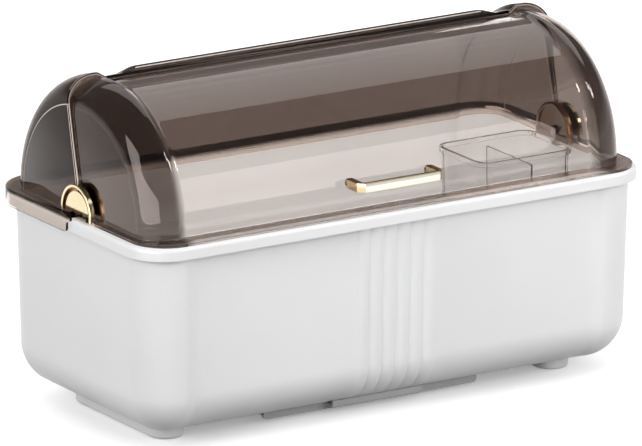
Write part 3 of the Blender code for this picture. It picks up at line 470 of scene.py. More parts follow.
def clear_plastic(name, tint, end_shade_tint, low_light_shade_tint, lamp_tint, roughness, ior):
    """See-through plastic that lets lamps through, with other tints on the end humps and low
    down over the rim that are painted light and shade: painted shade on the door's end humps and
    low edge, painted light on the cover's skirt."""
    mat, tree, shader = new_material(name)
    place = split_place(tree, "Object")
    reach = math_node(tree, "ABSOLUTE", place["X"])
    # The tints on the end humps and below the rim are painted light and shade
    on_hump = map_range(tree, reach, hump_step_inner_x, hump_step_outer_x)
    over_rim = map_range(tree, place["Z"], *SKIRT_TINT_SPAN)
    wall = mix_colors(tree, on_hump, (*tint, 1), (*end_shade_tint, 1))
    connect(tree, shader, "Base Color", mix_colors(tree, over_rim, (*low_light_shade_tint, 1), wall))
    shader.inputs["Roughness"].default_value = roughness
    shader.inputs["IOR"].default_value = ior
    shader.inputs["Specular Tint"].default_value = CLEAR_SPECULAR_TINT
    shader.inputs["Transmission Weight"].default_value = 1.0
    lamp_pass = tree.nodes.new("ShaderNodeBsdfTransparent")
    lamp_pass.inputs["Color"].default_value = (*lamp_tint, 1)
    rays = tree.nodes.new("ShaderNodeLightPath").outputs
    passing = math_node(tree, "MAXIMUM", rays["Is Shadow Ray"], rays["Is Diffuse Ray"])
    mix = tree.nodes.new("ShaderNodeMixShader")
    connect(tree, mix, "Fac", passing)
    connect(tree, mix, 1, shader.outputs["BSDF"])
    connect(tree, mix, 2, lamp_pass.outputs["BSDF"])
    connect(tree, tree.nodes["Material Output"], "Surface", mix.outputs["Shader"])
    return mat


# ---- modelling helpers ----

def finish_shading(obj, sharp_deg=SHARP_DEG):
    obj.data.shade_smooth()
    obj.data.set_sharp_from_angle(angle=math.radians(sharp_deg))


def new_piece(name, bm, mats):
    bmesh.ops.recalc_face_normals(bm, faces=bm.faces)
    mesh = bpy.data.meshes.new(name)
    bm.to_mesh(mesh)
    bm.free()
    obj = bpy.data.objects.new(name, mesh)
    finish_shading(obj)
    bpy.context.scene.collection.objects.link(obj)
    for mat in mats:
        mesh.materials.append(mat)
    return obj


def apply_modifiers(obj):
    depsgraph = bpy.context.evaluated_depsgraph_get()
    made = bpy.data.meshes.new_from_object(obj.evaluated_get(depsgraph))
    obj.modifiers.clear()
    obj.data = made


def combine(obj, bm, operation):
    """Joins a shape to a piece or cuts it away, and applies the result."""
    other = new_piece("tool", bm, [])
    step = obj.modifiers.new(operation, "BOOLEAN")
    step.operation = operation
    step.object = other
    step.solver = "EXACT"
    apply_modifiers(obj)
    bpy.data.objects.remove(other, do_unlink=True)


def bevel(obj, width, segments, limit_deg):
    edge = obj.modifiers.new("edges", "BEVEL")
    edge.width = width
    edge.segments = segments
    edge.limit_method = "ANGLE"
    edge.angle_limit = math.radians(limit_deg)


def place_piece(obj, body, node, y=0.0):
    obj.location.y = y
    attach(obj, body)
    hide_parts(node)


def rounded_outline(length, depth, radius, segments):
    points = []
    for quarter, (sx, sy) in enumerate(((1, 1), (-1, 1), (-1, -1), (1, -1))):
        for step in range(segments + 1):
            turn = math.radians(90 * (quarter + step / segments))
            x = sx * (length / 2 - radius) + radius * math.cos(turn)
            y = sy * (depth / 2 - radius) + radius * math.sin(turn)
            points.append((x, y))
    return points


def loft(bm, rings, closed_ends=True):
    made = [[bm.verts.new(point) for point in ring] for ring in rings]
    count = len(made[0])
    for lower, upper in zip(made, made[1:]):
        for i in range(count):
            j = (i + 1) % count
            bm.faces.new((lower[i], lower[j], upper[j], upper[i]))
    if closed_ends:
        bm.faces.new(reversed(made[0]))
        bm.faces.new(made[-1])
    return made


def cylinder(bm, radius, low, high, segments, direction="Z", at=(0, 0, 0)):
    made = bmesh.ops.create_cone(
        bm, cap_ends=True, segments=segments, radius1=radius, radius2=radius, depth=high - low
    )
    verts = made["verts"]
    bmesh.ops.translate(bm, vec=Vector((0, 0, (low + high) / 2)), verts=verts)
    if direction == "X":
        bmesh.ops.rotate(bm, matrix=Matrix.Rotation(math.radians(90), 3, "Y"), verts=verts)
    bmesh.ops.translate(bm, vec=Vector(at), verts=verts)
    return verts


def extrude_outline(bm, outline, low, high, direction):
    if direction == "X":
        loft(bm, [[(end, a, b) for a, b in outline] for end in (low, high)])
    else:
        loft(bm, [[(a, b, end) for a, b in outline] for end in (low, high)])


def smooth_step(value):
    value = min(max(value, 0.0), 1.0)
    return value * value * (3 - 2 * value)


# ---- tub ----

def panel_share(x):
    return smooth_step((panel_length / 2 - abs(x)) / panel_step_width)


def flute_share(x):
    band = flute_pitch * flute_count / 2
    if abs(x) >= band:
        return 0.0
    place = (x + band) / flute_pitch % 1.0
    return 1 - (2 * place - 1) ** 2


def step_places():
    steps = range(PANEL_STEPS + 1)
    return [panel_length / 2 - panel_step_width * step / PANEL_STEPS for step in steps]


def front_places():
    band = flute_pitch * flute_count / 2
    steps = FLUTE_STEPS * flute_count
    flutes = [band - 2 * band * step / steps for step in range(steps + 1)]
    places = step_places()
    return places + flutes + [-x for x in places[::-1]]


def tub_ring(length, depth, radius, z, recess, flutes):
    """Level ring of the tub with its sunk panels, and with flutes of a given height in front."""
    half_depth = depth / 2
    squeeze = min(1.0, (length / 2 - radius) / (panel_length / 2 + inner_edge_r))
    corner = rounded_outline(length, depth, radius, TUB_CORNER_STEPS)
    per_corner = TUB_CORNER_STEPS + 1
    corners = [corner[i * per_corner:(i + 1) * per_corner] for i in range(4)]
    points = [(x, y, z) for x, y in corners[0]]
    places = step_places()
    for x in places + [-x for x in places[::-1]]:
        points.append((x * squeeze, half_depth - recess * panel_share(x), z))
    points += [(x, y, z) for x, y in corners[1] + corners[2]]
    for x in front_places()[::-1]:
        rise = flutes * flute_share(x)
        points.append((x * squeeze, -half_depth + recess * panel_share(x) - rise, z))
    points += [(x, y, z) for x, y in corners[3]]
    return points


def tub_wall_rings(inset, floor_z, top_z, fluted):
    rings = []
    bottom_r = body_bottom_r - inset
    for step in range(BOTTOM_STEPS + 1):
        turn = math.radians(90 * step / BOTTOM_STEPS)
        z = floor_z + bottom_r * (1 - math.cos(turn))
        shrink = bottom_r * (1 - math.sin(turn))
        rings.append((z, shrink, step / BOTTOM_STEPS))
    rings.append((top_z - flute_fade, 0.0, 1.0))
    for step in range(1, FADE_STEPS + 1):
        share = step / FADE_STEPS
        fade = 1 - smooth_step(share) if fluted else 1.0
        rings.append((top_z - flute_fade * (1 - share), 0.0, fade))
    made = []
    for z, shrink, fade in rings:
        draft = body_draft_share * (lip_bottom_z - min(z, lip_bottom_z))
        pull_in = inset + shrink + draft
        radius = max(body_corner_r - inset - shrink, inner_edge_r)
        eased = smooth_step(fade * 2)
        recess = panel_recess if z > top_z - flute_fade else panel_recess * eased
        flutes = flute_height * eased if fluted else 0.0
        length = body_length - 2 * pull_in
        depth = body_depth - 2 * pull_in
        made.append(tub_ring(length, depth, radius, z, recess, flutes))
    return made


def build_tub(mat):
    bm = bmesh.new()
    under_z = rim_top_z - rim_lip_thickness

    def rim_ring(inset, z):
        length = rim_length - 2 * inset
        depth = rim_depth - 2 * inset
        return tub_ring(length, depth, rim_corner_r - inset, z, 0.0, 0.0)

    rings = tub_wall_rings(0.0, foot_height, under_z, True)
    rings.append(rim_ring(rim_lip_thickness, under_z))
    rings.append(rim_ring(rim_lip_thickness, lip_bottom_z))
    rings.append(rim_ring(0.0, lip_bottom_z))
    for step in range(RIM_EDGE_STEPS + 1):
        turn = math.radians(90 * step / RIM_EDGE_STEPS)
        inset = rim_edge_r * (1 - math.cos(turn))
        rings.append(rim_ring(inset, rim_top_z - rim_edge_r * (1 - math.sin(turn))))
    mouth_inset = tub_wall - inner_edge_r
    mouth = body_length - 2 * mouth_inset
    mouth_depth = body_depth - 2 * mouth_inset
    mouth_r = body_corner_r - mouth_inset
    rings.append(tub_ring(mouth, mouth_depth, mouth_r, rim_top_z, panel_recess, 0.0))
    rings += tub_wall_rings(tub_wall, floor_top_z, rim_top_z - inner_edge_r, False)[::-1]
    loft(bm, rings)
    tub = new_piece("tub_shell", bm, [mat])

    low = foot_height - cut_overrun
    high = floor_top_z + cut_overrun
    places = [(0, 0, 0)]
    for hole in range(drain_ring_holes):
        turn = math.tau * hole / drain_ring_holes
        places.append((drain_ring_r * math.cos(turn), drain_ring_r * math.sin(turn), 0))
    holes = bmesh.new()
    for spot in places:
        cylinder(holes, drain_hole_r, low, high, DRAIN_FACETS, at=spot)
    for side in (-1, 1):
        for end in (-1, 1):
            spot = (side * foot_rail_x, end * stud_spacing / 2, 0)
            cylinder(holes, stud_hole_r, low, high, STUD_FACETS, at=spot)
    combine(tub, holes, "DIFFERENCE")
    finish_shading(tub)
    place_piece(tub, "basin", "tub", middle_y)


# ---- lid ----

def hump_drop(x):
    return hump_step * smooth_step((hump_step_outer_x - x) / hump_step_width)


def lid_profile(offset, start_r, shoulder):
    """Lid's outline as places along the axis and radii from it, offset inwards."""
    reach, rise = shoulder
    end_x = cover_end_x - offset
    centre_x = cover_end_x - reach
    centre_r = cover_hump_r - rise
    half = [(end_x, start_r), (end_x, start_r + crease_width)]
    if start_r + crease_width < centre_r - crease_width:
        half.append((end_x, centre_r - crease_width))
    for step in range(SHOULDER_STEPS + 1):
        turn = math.radians(90 * step / SHOULDER_STEPS)
        x = centre_x + (reach - offset - crease_depth) * math.cos(turn)
        half.append((x, centre_r + (rise - offset) * math.sin(turn) - hump_drop(x)))
    for step in range(HUMP_STEPS + 1):
        x = hump_step_outer_x + (hump_step_inner_x - hump_step_outer_x) * step / HUMP_STEPS
        if x < centre_x:
            half.append((x, cover_hump_r - offset - hump_drop(x)))
    return half + [(-x, r) for x, r in half[::-1]]


def turned_section(outer, inner, degrees):
    turn = math.radians(degrees)
    loop = outer + inner[::-1]
    return [(x, r * math.cos(turn), axis_z + r * math.sin(turn)) for x, r in loop]


def lid_shell(bm, offset, wall, shoulder, from_deg, to_deg):
    """Shell turned about the axis; an end that lies level runs on down to the lip."""
    outer = lid_profile(offset, hub_r / 2, shoulder)
    inner = lid_profile(offset + wall, hub_r / 2, shoulder)
    steps = round((to_deg - from_deg) / lid_facet_deg)
    sections = []
    for step in range(steps + 1):
        degrees = from_deg + (to_deg - from_deg) * step / steps
        sections.append(turned_section(outer, inner, degrees))
    drop = axis_z - lid_lip_z
    if from_deg == 0:
        sections.insert(0, [(x, y, z - drop) for x, y, z in sections[0]])
    if to_deg == 180:
        sections.append([(x, y, z - drop) for x, y, z in sections[-1]])
    made = loft(bm, sections, closed_ends=False)
    for ring in (made[0], made[-1]):
        cut_face(bm, ring)


def cut_face(bm, ring):
    """Closes a shell's cut end with three strips, so the middle one can stay dark while the
    outer ones take a painted highlight.
    """
    count = len(ring) // 2
    outer, inner = ring[:count], ring[count:][::-1]
    lines = []
    for first, last in zip(outer[1:-1], inner[1:-1]):
        between = [bm.verts.new(first.co.lerp(last.co, share)) for share in CUT_SHARES]
        lines.append([first, *between, last])
    for first, second in zip(lines, lines[1:]):
        for k in range(len(first) - 1):
            bm.faces.new((first[k], second[k], second[k + 1], first[k + 1]))
    bm.faces.new([outer[0]] + lines[0] + [inner[0]])
    bm.faces.new([outer[-1]] + lines[-1] + [inner[-1]])


def axis_cylinder(bm, radius, first_x, second_x, segments):
    """Cylinder along the pivot axis between two places."""
    low, high = sorted((first_x, second_x))
    cylinder(bm, radius, low, high, segments, direction="X", at=(0, 0, axis_z))


def hubs(bm, offset, wall):
    end_x = cover_end_x - offset
    for side in (-1, 1):
        outer_x = side * (end_x + hub_proud)
        inner_x = side * (end_x - wall - hub_proud)
        axis_cylinder(bm, hub_r, outer_x, inner_x, HUB_FACETS)


def pin_holes(bm):
    for side in (-1, 1):
        inner_x = side * (door_end_x - shoulder_reach)
        outer_x = side * (cover_end_x + shoulder_reach)
        axis_cylinder(bm, hole_r, inner_x, outer_x, PIN_FACETS)


def ring_wall(bm, length, depth, radius, thickness, low, high, edge):
    """Upright wall round a rounded rectangle, with its outer top edge rounded."""
    def ring(inset, z):
        size = (length - 2 * inset, depth - 2 * inset)
        outline = rounded_outline(*size, radius - inset, LEDGE_CORNER_STEPS)
        return [(x, y, z) for x, y in outline]

    rings = [ring(thickness, low), ring(0.0, low), ring(0.0, high - edge)]
    for turn in SKIRT_EDGE_TURNS:
        rings.append(ring(edge * (1 - math.cos(turn)), high - edge * (1 - math.sin(turn))))
    rings += [ring(edge, high), ring(thickness, high)]
    made = loft(bm, rings, closed_ends=False)
    count = len(made[0])
    for i in range(count):
        j = (i + 1) % count
        bm.faces.new((made[-1][i], made[-1][j], made[0][j], made[0][i]))


def half_ledge(bm, length, depth, radius, offset, shoulder, side, start_y, low, high):
    """Flat ledge from a lid shell's wall out to a rounded rectangle, on one half of the lid."""
    outline = rounded_outline(length, depth, radius, LEDGE_CORNER_STEPS)
    outer = [(x, y) for x, y in outline if y * side > start_y]
    if side < 0:
        outer = [(x, y) for x, y in outer if x < 0] + [(x, y) for x, y in outer if x >= 0]
    reach = length / 2
    outer = [(math.copysign(reach, outer[0][0]), side * start_y)] + outer
    outer = outer + [(math.copysign(reach, outer[-1][0]), side * start_y)]
    inner = [(x, side * r) for x, r in lid_profile(offset, start_y, shoulder)]
    if (inner[0][0] > 0) != (outer[-1][0] > 0):
        inner = inner[::-1]
    extrude_outline(bm, outer + inner, low, high, "Z")


def ridge(bm):
    """Raised bead along the front edge of the rear cover, between the end humps."""
    places = []
    for step in range(RIDGE_FADE_STEPS + 1):
        share = step / RIDGE_FADE_STEPS
        x = ridge_end_x + (ridge_flat_x - ridge_end_x) * share
        places.append((x, smooth_step(share)))
    places = places + [(-x, share) for x, share in places[::-1]]
    root = cover_middle_r - ridge_root
    sections = []
    for sweep_share, height_share in RIDGE_PROFILE:
        degrees = cover_edge_deg - ridge_sweep_deg * (1 - sweep_share)
        outer = []
        for x, share in places:
            rise = share * height_share * (ridge_height + ridge_root / 2)
            outer.append((x, cover_middle_r - ridge_root / 2 + rise))
        inner = [(x, root) for x, share in places]
        sections.append(turned_section(outer, inner, degrees))
    loft(bm, sections)


def skirt_front_cutter(bm):
    """Takes the front half off the skirt and leaves a hooked, rounded end on each side."""
    top = flange_top_z + cut_overrun
    low = skirt_bottom_z - cut_overrun
    outline = [(-skirt_depth, low), (skirt_front_y + skirt_corner_r, low)]
    outline.append((skirt_front_y + skirt_corner_r, skirt_bottom_z))
    for step in range(1, SKIRT_STEPS + 1):
        turn = math.radians(90 * step / SKIRT_STEPS)
        outline.append((
            skirt_front_y + skirt_corner_r * (1 - math.sin(turn)),
            skirt_bottom_z + skirt_corner_r * (1 - math.cos(turn)),
        ))
    hook_low = flange_bottom_z - skirt_hook_height
    for step in range(SKIRT_STEPS + 1):
        share = step / SKIRT_STEPS
        z = hook_low + (flange_bottom_z - hook_low) * share
        outline.append((skirt_front_y - skirt_hook_reach * smooth_step(share), z))
    outline.append((skirt_front_y - skirt_hook_reach, top))
    outline.append((-skirt_depth, top))
    extrude_outline(bm, outline, -skirt_length, skirt_length, "X")


def section_normal(degrees):
    """Normal of the plane through the axis at an angle from the back."""
    turn = math.radians(degrees)
    return Vector((0, -math.sin(turn), math.cos(turn)))


def paint_edge_highlights(obj, offset, wall, shoulder, degrees):
    """Painted highlight materials for the cut face at one angle on the end humps, and a painted
    highlight line in the cover's crease; only the cover has no offset."""
    normal = section_normal(degrees)
    crease_r = cover_hump_r - shoulder[1]
    crease_x = cover_end_x - offset
    for face in obj.data.polygons:
        middle = face.center - Vector((0, 0, axis_z))
        reach = abs(middle.x)
        radius = math.hypot(middle.y, middle.z)
        on_cut = abs(middle.dot(normal)) < weld and abs(face.normal.dot(normal)) > FACING
        in_crease = (
            offset == 0
            and crease_x - crease_depth < reach < crease_x - weld
            and abs(crease_r - radius) < crease_width
        )
        # Painted highlight: on the end humps the cut face outside its middle strip takes the
        # bright colour below the crease and the dim one above it; the crease takes the bright
        # one
        if on_cut and reach > hump_step_inner_x:
            depth = wall_depth(reach, radius, offset, shoulder) / wall
            light = 1 if radius < crease_r else 2
            face.material_index = 0 if CUT_SHARES[0] < depth < CUT_SHARES[1] else light
        elif in_crease:
            face.material_index = 1


def paint_ridge_highlight(cover):
    """Gives the top strip of the ridge's front face the painted highlight material."""
    normal = section_normal(cover_edge_deg + ridge_sweep_deg * (RIDGE_FRONT_SHARE - 1))
    line_r = cover_middle_r + ridge_height * ridge_line_share
    for face in cover.data.polygons:
        middle = face.center - Vector((0, 0, axis_z))
        on_front = (
            abs(middle.dot(normal)) < 2 * weld and abs(face.normal.dot(normal)) > FACING
        )
        # Painted highlight on the top strip of the ridge's front face
        if on_front and math.hypot(middle.y, middle.z) > line_r:
            face.material_index = 1


def wall_depth(x, radius, offset, shoulder):
    """Depth of a place on the end humps under the outer face of a lid shell."""
    reach, rise = shoulder
    centre_x = cover_end_x - reach
    centre_r = cover_hump_r - rise
    if radius < centre_r:
        return cover_end_x - offset - x
    level = radius + hump_drop(x)
    if x < centre_x:
        return cover_hump_r - offset - level
    far = math.hypot((x - centre_x) / (reach - offset), (level - centre_r) / (rise - offset))
    return (1 - far) * (reach + rise - 2 * offset) / 2


def build_cover(mats):
    bm = bmesh.new()
    lid_shell(bm, 0.0, cover_wall, cover_shoulder, 0, cover_edge_deg)
    cover = new_piece("cover_shell", bm, mats)

    skirt_bm = bmesh.new()
    skirt_r = rim_corner_r + skirt_stand_out
    ring_wall(
        skirt_bm, skirt_length, skirt_depth, skirt_r, skirt_thickness,
        skirt_bottom_z, flange_top_z + skirt_bead, skirt_edge_r,
    )
    skirt = new_piece("skirt", skirt_bm, mats)
    front = bmesh.new()
    skirt_front_cutter(front)
    combine(skirt, front, "DIFFERENCE")
    ledge = bmesh.new()
    half_ledge(
        ledge, skirt_length - skirt_thickness, skirt_depth - skirt_thickness,
        skirt_r - skirt_thickness / 2, cover_wall / 2, cover_shoulder, 1, 0.0,
        flange_bottom_z, flange_top_z,
    )
    combine(skirt, ledge, "UNION")

    joined = bmesh.new()
    joined.from_mesh(skirt.data)
    bpy.data.objects.remove(skirt, do_unlink=True)
    combine(cover, joined, "UNION")
    bead = bmesh.new()
    ridge(bead)
    combine(cover, bead, "UNION")
    bosses = bmesh.new()
    hubs(bosses, 0.0, cover_wall)
    combine(cover, bosses, "UNION")
    holes = bmesh.new()
    pin_holes(holes)
    combine(cover, holes, "DIFFERENCE")
    finish_shading(cover, LID_SHARP_DEG)
    paint_edge_highlights(cover, 0.0, cover_wall, cover_shoulder, cover_edge_deg)
    paint_ridge_highlight(cover)
    place_piece(cover, "cover", "rear_cover", middle_y)


def build_door(mats):
    bm = bmesh.new()
    lid_shell(bm, door_offset, door_wall, door_shoulder, door_edge_deg, 180)
    door = new_piece("door_shell", bm, mats)
    ledge = bmesh.new()
    half_ledge(
        ledge, rim_length - 2 * door_flange_inset_end, rim_depth - 2 * door_flange_inset_front,
        rim_corner_r - door_flange_inset_end, door_offset + door_wall / 2, door_shoulder, -1,
        door_flange_start, flange_bottom_z, flange_bottom_z + door_flange_thickness,
    )
    combine(door, ledge, "UNION")
    bosses = bmesh.new()
    hubs(bosses, door_offset, door_wall)
    combine(door, bosses, "UNION")
    holes = bmesh.new()
    pin_holes(holes)
    combine(door, holes, "DIFFERENCE")
    screw_holes = bmesh.new()
    tilt = math.asin((handle_z - axis_z) / door_middle_r)
    turn = Matrix.Rotation(math.radians(90) - tilt, 3, "X")
    low = door_middle_r - door_wall - cut_overrun
    high = door_middle_r + cut_overrun
    for side in (-1, 1):
        verts = cylinder(screw_holes, screw_hole_r, low, high, SCREW_FACETS)
        bmesh.ops.rotate(screw_holes, matrix=turn, verts=verts)
        bmesh.ops.translate(screw_holes, vec=Vector((side * screw_x, 0, axis_z)), verts=verts)
    combine(door, screw_holes, "DIFFERENCE")
    finish_shading(door, LID_SHARP_DEG)
    paint_edge_highlights(door, door_offset, door_wall, door_shoulder, door_edge_deg)
    place_piece(door, "door", "front_door", middle_y)


# ---- gilt pieces ----

def arch(radius, low):
    """Half-round outline in the YZ plane over the pivot axis, with straight legs."""
    points = [(-radius, low)]
    for step in range(ARCH_STEPS + 1):
        turn = math.radians(180 - 180 * step / ARCH_STEPS)
        points.append((radius * math.cos(turn), axis_z + radius * math.sin(turn)))
    points.append((radius, low))
    return points


def build_cap(name, side, mats):
    """Half-round cap: a rounded arch round a groove and a sunk face, over an open slot."""
    bm = bmesh.new()
    ring_low = rim_top_z + seat_gap
    back_low = flange_top_z + skirt_bead + seat_gap
    inner_r = cap_r - cap_ring_width
    turns = [math.radians(90 * step / CAP_EDGE_STEPS) for step in range(CAP_EDGE_STEPS + 1)]
    sections = [(cap_r, 0.0)]
    for turn in turns:
        ease = cap_edge_r * (1 - math.sin(turn))
        sections.append((cap_r - cap_edge_r + cap_edge_r * math.cos(turn), cap_depth - ease))
    for turn in turns:
        ease = cap_edge_r * (1 - math.cos(turn))
        sections.append((inner_r + cap_edge_r * (1 - math.sin(turn)), cap_depth - ease))
    sections.append((inner_r, 0.0))
    rings = []
    for radius, depth in sections:
        outline = arch(radius, ring_low)
        outline[-1] = (outline[-1][0], back_low)
        rings.append([(side * (cap_inner_x + depth), y, z) for y, z in outline])
    count = len(rings[0])
    made = [[bm.verts.new(point) for point in ring] for ring in rings]
    for i in range(len(made)):
        first, second = made[i], made[(i + 1) % len(made)]
        for j in range(count - 1):
            bm.faces.new((first[j], first[j + 1], second[j + 1], second[j]))
    for end in (0, count - 1):
        bm.faces.new([ring[end] for ring in made])
    ring_faces = len(bm.faces)

    def inner_arch(radius, from_depth, to_depth):
        low, high = sorted((side * (cap_inner_x + from_depth), side * (cap_inner_x + to_depth)))
        outline = arch(radius, flange_top_z + cap_slot_height / 2)
        extrude_outline(bm, outline, low, high, "X")

    inner_arch(inner_r + cap_edge_r, seat_gap, cap_back_depth)
    inner_arch(inner_r - cap_groove_width, cap_back_depth / 2, cap_face_depth)
    cap = new_piece(name + "_fine", bm, mats)
    # The groove and the inside of the ring take the darker second material as painted shade
    face_x = cap_inner_x + cap_face_depth - weld
    for face in cap.data.polygons:
        middle = face.center
        from_axis = math.hypot(middle.y, middle.z - axis_z)
        looks_out = abs(face.normal.x) > FACING
        on_ring = face.index < ring_faces
        in_groove = not on_ring and not (looks_out and abs(middle.x) > face_x)
        ring_inside = on_ring and not looks_out and from_axis < inner_r + weld
        if in_groove or ring_inside:
            face.material_index = 1
    cap.data.transform(Matrix.Translation((0, -cap_forward, 0)))
    place_piece(cap, "cover", name, middle_y)


def build_handle(mats):
    """Flat bar with chamfered corners and fine edges, on two feet. The paler first material on
    the front is a painted highlight; the darker second one, as painted shade, goes on all faces
    that don't look to the front."""
    half = handle_length / 2
    front = -(door_middle_r + handle_reach)
    back = -(door_middle_r - handle_bar)
    inner_half = half - handle_foot
    inner_front = front + handle_bar
    inner_r = handle_chamfer / 2
    outline = [(half, back), (inner_half, back)]
    for centre_x, start in ((inner_half - inner_r, 0), (inner_r - inner_half, 90)):
        for step in range(BEND_STEPS + 1):
            turn = math.radians(-(start + 90 * step / BEND_STEPS))
            outline.append((
                centre_x + inner_r * math.cos(turn),
                inner_front + inner_r + inner_r * math.sin(turn),
            ))
    outline += [(-inner_half, back), (-half, back)]
    outline += [(-half, front + handle_chamfer), (handle_chamfer - half, front)]
    outline += [(half - handle_chamfer, front), (half, front + handle_chamfer)]
    bm = bmesh.new()
    low = handle_z - handle_height / 2
    extrude_outline(bm, outline, low, low + handle_height, "Z")
    handle = new_piece("handle_fine", bm, mats)
    # Faces that don't look to the front take the painted shade copy
    for face in handle.data.polygons:
        if face.normal.y > -FACING:
            face.material_index = 1
    bevel(handle, handle_edge_r, HANDLE_BEVEL_STEPS, HANDLE_BEVEL_DEG)
    seat = bmesh.new()
    axis_cylinder(seat, door_middle_r + seat_gap, -handle_length, handle_length, SEAT_FACETS)
    combine(handle, seat, "DIFFERENCE")
    finish_shading(handle, LID_SHARP_DEG)
    place_piece(handle, "door", "door_handle", middle_y)


# ---- pieces that keep the solids' shape ----

def soften(name, body, mats, width):
    """Copy of a solid with its sharp edges rounded off, in place of the solid.

    A second, darker material goes on the faces that look to the middle of the lid, as a painted
    dark reflection."""
    bm = bmesh.new()
    bm.from_mesh(frame["nodes"][name].data)
    bmesh.ops.remove_doubles(bm, verts=bm.verts, dist=merge_distance)
    merge_angle = math.radians(MERGE_DEG)
    bmesh.ops.dissolve_limit(bm, angle_limit=merge_angle, verts=bm.verts, edges=bm.edges)
    piece = new_piece(name + "_soft", bm, mats)
    bevel(piece, width, SOFT_BEVEL_STEPS, SOFT_BEVEL_DEG)
    apply_modifiers(piece)
    # Faces that look to the middle of the lid take the painted dark reflection
    if len(mats) > 1:
        for face in piece.data.polygons:
            if face.normal.x * face.center.x < 0 and abs(face.normal.x) > FACING:
                face.material_index = 1
    finish_shading(piece, SOFT_SHARP_DEG)
    place_piece(piece, body, name)


def dress(names, mat):
    for name in names:
        node = frame["nodes"][name]
        node.data.materials.clear()
        node.data.materials.append(mat)
        finish_shading(node)


def pair(stem):
    return [stem + "_left", stem + "_right"]


# ---- stage ----

def background_rays(tree):
    """1 for rays that show the background: straight, mirrored or through clear walls."""
    rays = tree.nodes.new("ShaderNodeLightPath").outputs
    seen = rays["Is Camera Ray"]
    for kind in ("Is Glossy Ray", "Is Transmission Ray"):
        seen = math_node(tree, "MAXIMUM", seen, rays[kind])
    return seen


def grey(level):
    return (level, level, level, 1)


def build_floor():
    bm = bmesh.new()
    bmesh.ops.create_grid(bm, x_segments=1, y_segments=1, size=FLOOR_HALF_SIZE)
    mat, tree, shader = new_material("pale_floor")
    seen = background_rays(tree)
    color = mix_colors(tree, seen, grey(FLOOR_BOUNCE), grey(FLOOR_WHITE))
    connect(tree, shader, "Base Color", color)
    shader.inputs["Roughness"].default_value = 1.0
    shader.inputs["Specular IOR Level"].default_value = 0.0
    shader.inputs["Emission Color"].default_value = grey(1)
    glow = math_node(tree, "MULTIPLY", seen, FLOOR_GLOW)
    connect(tree, shader, "Emission Strength", glow)
    floor = new_piece("floor", bm, [mat])


def build_world():
    """Even light on matt surfaces, and a backdrop that is white up to a little over the
    horizon and darker above."""
    world = bpy.data.worlds.new("studio")
    bpy.context.scene.world = world
    world.use_nodes = True
    tree = world.node_tree
    tree.nodes.clear()
    up = split_place(tree, "Generated")["Z"]
    backdrop = map_range(tree, up, *WORLD_FADE, 1.0, WORLD_TOP)
    strength = map_range(tree, background_rays(tree), 0.0, 1.0, WORLD_LIGHT, backdrop)
    light = tree.nodes.new("ShaderNodeBackground")
    light.inputs["Color"].default_value = grey(1)
    connect(tree, light, "Strength", strength)
    output = tree.nodes.new("ShaderNodeOutputWorld")
    connect(tree, output, "Surface", light.outputs["Background"])


def area_light(name, place, aim, size, power, card=False):
    """Soft rectangular lamp that polished surfaces don't mirror, or a card that shows in them
    alone."""
    data = bpy.data.lights.new(name, "AREA")
    data.shape = "RECTANGLE"
    data.size, data.size_y = size
    data.energy = power
    lamp = bpy.data.objects.new(name, data)
    bpy.context.scene.collection.objects.link(lamp)
    lamp.location = place
    direction = Vector(aim) - Vector(place)
    lamp.rotation_euler = direction.to_track_quat("-Z", "Y").to_euler()
    lamp.visible_camera = False
    lamp.visible_glossy = card
    lamp.visible_diffuse = not card
    lamp.visible_transmission = not card


def reflection_card(name, low, high, facing, brightness):
    """Card between two corners, level or facing along X, of a given brightness."""
    middle = (Vector(low) + Vector(high)) / 2
    span = Vector(high) - Vector(low)
    size = (span.x, span.y) if facing[2] else (span.y, span.z)
    power = brightness * math.pi * size[0] * size[1]
    area_light(name, middle, middle + Vector(facing), size, power, card=True)


def build_camera():
    """Camera at the photograph's angle, moved in its own plane so the target meets its pixel."""
    forward = Vector((
        -math.sin(CAMERA_YAW) * math.cos(CAMERA_ELEVATION),
        math.cos(CAMERA_YAW) * math.cos(CAMERA_ELEVATION),
        -math.sin(CAMERA_ELEVATION),
    ))
    level_right = Vector((math.cos(CAMERA_YAW), math.sin(CAMERA_YAW), 0))
    level_up = level_right.cross(forward)
    right = level_right * math.cos(CAMERA_ROLL) + level_up * math.sin(CAMERA_ROLL)
    up = level_up * math.cos(CAMERA_ROLL) - level_right * math.sin(CAMERA_ROLL)
    metres_per_pixel = CAMERA_DISTANCE / CAMERA_FOCAL_PIXELS
    right_by = (TARGET_PIXEL[0] - IMAGE_WIDTH / 2) * metres_per_pixel
    up_by = (IMAGE_HEIGHT / 2 - TARGET_PIXEL[1]) * metres_per_pixel
    data = bpy.data.cameras.new("camera")
    data.sensor_width = SENSOR_WIDTH * MM_PER_M
    data.lens = CAMERA_FOCAL_PIXELS / IMAGE_WIDTH * SENSOR_WIDTH * MM_PER_M
    data.clip_end = CAMERA_REACH
    camera = bpy.data.objects.new("camera", data)
    bpy.context.scene.collection.objects.link(camera)
    turn = Matrix((right, up, -forward)).transposed().to_4x4()
    target = Vector((0, middle_y, TARGET_Z))
    turn.translation = target - forward * CAMERA_DISTANCE - right * right_by - up * up_by
    camera.matrix_world = turn
    bpy.context.scene.camera = camera


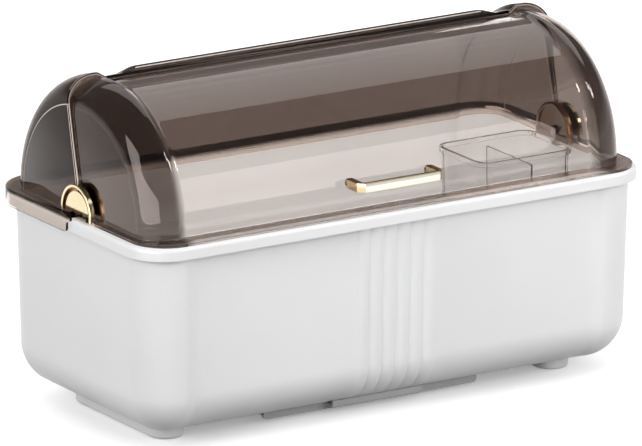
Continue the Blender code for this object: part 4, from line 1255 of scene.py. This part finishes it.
white = white_plastic()
rack_mat = surface("rack_plastic", RACK_WHITE, **RACK_FINISH)
tray_mat = surface("tray_plastic", TRAY_GREY, **TRAY_FINISH)
gold = surface("gilt_metal", GOLD, **GILT_FINISH)
# Handle: painted highlight on the front, painted shade on the other faces
handle_highlight_gold = surface("gilt_pale", HANDLE_HIGHLIGHT_GOLD, **GILT_FINISH)
handle_shade_gold = surface("gilt_warm", HANDLE_SHADE_GOLD, **GILT_FINISH)
copper_gold = surface("gilt_copper", COPPER_GOLD, **GILT_FINISH)
# Painted dark reflection on the hinge plates' inner faces
plate_dark_reflection = surface("gilt_bronze", PLATE_DARK_REFLECTION, **GILT_FINISH)
# Painted shade in the caps' groove and ring
cap_recess_shade = surface("gilt_recess", CAP_RECESS_SHADE, **CAP_RECESS_SHADE_FINISH)
# Painted highlights for the lids' cut faces, crease and ridge strip
edge_highlight_mats = [
    surface("cut_edge", EDGE_HIGHLIGHT, **EDGE_HIGHLIGHT_FINISH),
    surface("cut_edge_dim", EDGE_HIGHLIGHT_DIM, **EDGE_HIGHLIGHT_FINISH),
]
cover_mat = clear_plastic("cover_smoke", **COVER_CLEAR)
door_mat = clear_plastic("door_smoke", **DOOR_CLEAR)
caddy_mat = clear_plastic("caddy_grey", **CADDY_CLEAR)
rubber = surface("pad_rubber", PAD_BLACK, **PAD_FINISH)
pin_mat = surface("pin_steel", PIN_STEEL, **STEEL_FINISH)
screw_mat = surface("screw_steel", SCREW_STEEL, **STEEL_FINISH)

build_tub(white)
build_cover([cover_mat, *edge_highlight_mats])
build_door([door_mat, *edge_highlight_mats])
build_cap("hinge_cap_left", -1, [gold, cap_recess_shade])
build_cap("hinge_cap_right", 1, [gold, cap_recess_shade])
build_handle([handle_highlight_gold, handle_shade_gold])
dress(pair("foot_rail") + pair("tray_runner"), white)
dress(["drain_rack"] + pair("plate_comb"), rack_mat)
dress(pair("pad_front") + pair("pad_rear"), rubber)
dress(["drip_tray"], tray_mat)
dress(["cutlery_caddy"], caddy_mat)
dress(pair("hinge_cap") + ["door_handle"], gold)
dress(pair("hinge_plate"), copper_gold)
for side in ("left", "right"):
    soften("foot_rail_" + side, "basin", [white], rail_edge_r)
    soften("tray_runner_" + side, "basin", [white], runner_edge_r)
    soften("plate_comb_" + side, "rack", [rack_mat], comb_edge_r)
    soften("hinge_plate_" + side, "door", [copper_gold, plate_dark_reflection], plate_edge_r)
soften("drip_tray", "tray", [tray_mat], tray_edge_r)
soften("drain_rack", "rack", [rack_mat], rack_edge_r)
dress(pair("hinge_pin"), pin_mat)
dress(pair("handle_screw"), screw_mat)

bpy.context.scene.view_settings.view_transform = "Standard"
build_floor()
build_world()
for lamp in LAMPS:
    area_light(*lamp)
for glint in GLINTS:
    area_light(*glint, card=True)
for card in CARDS:
    reflection_card(*card)
build_camera()
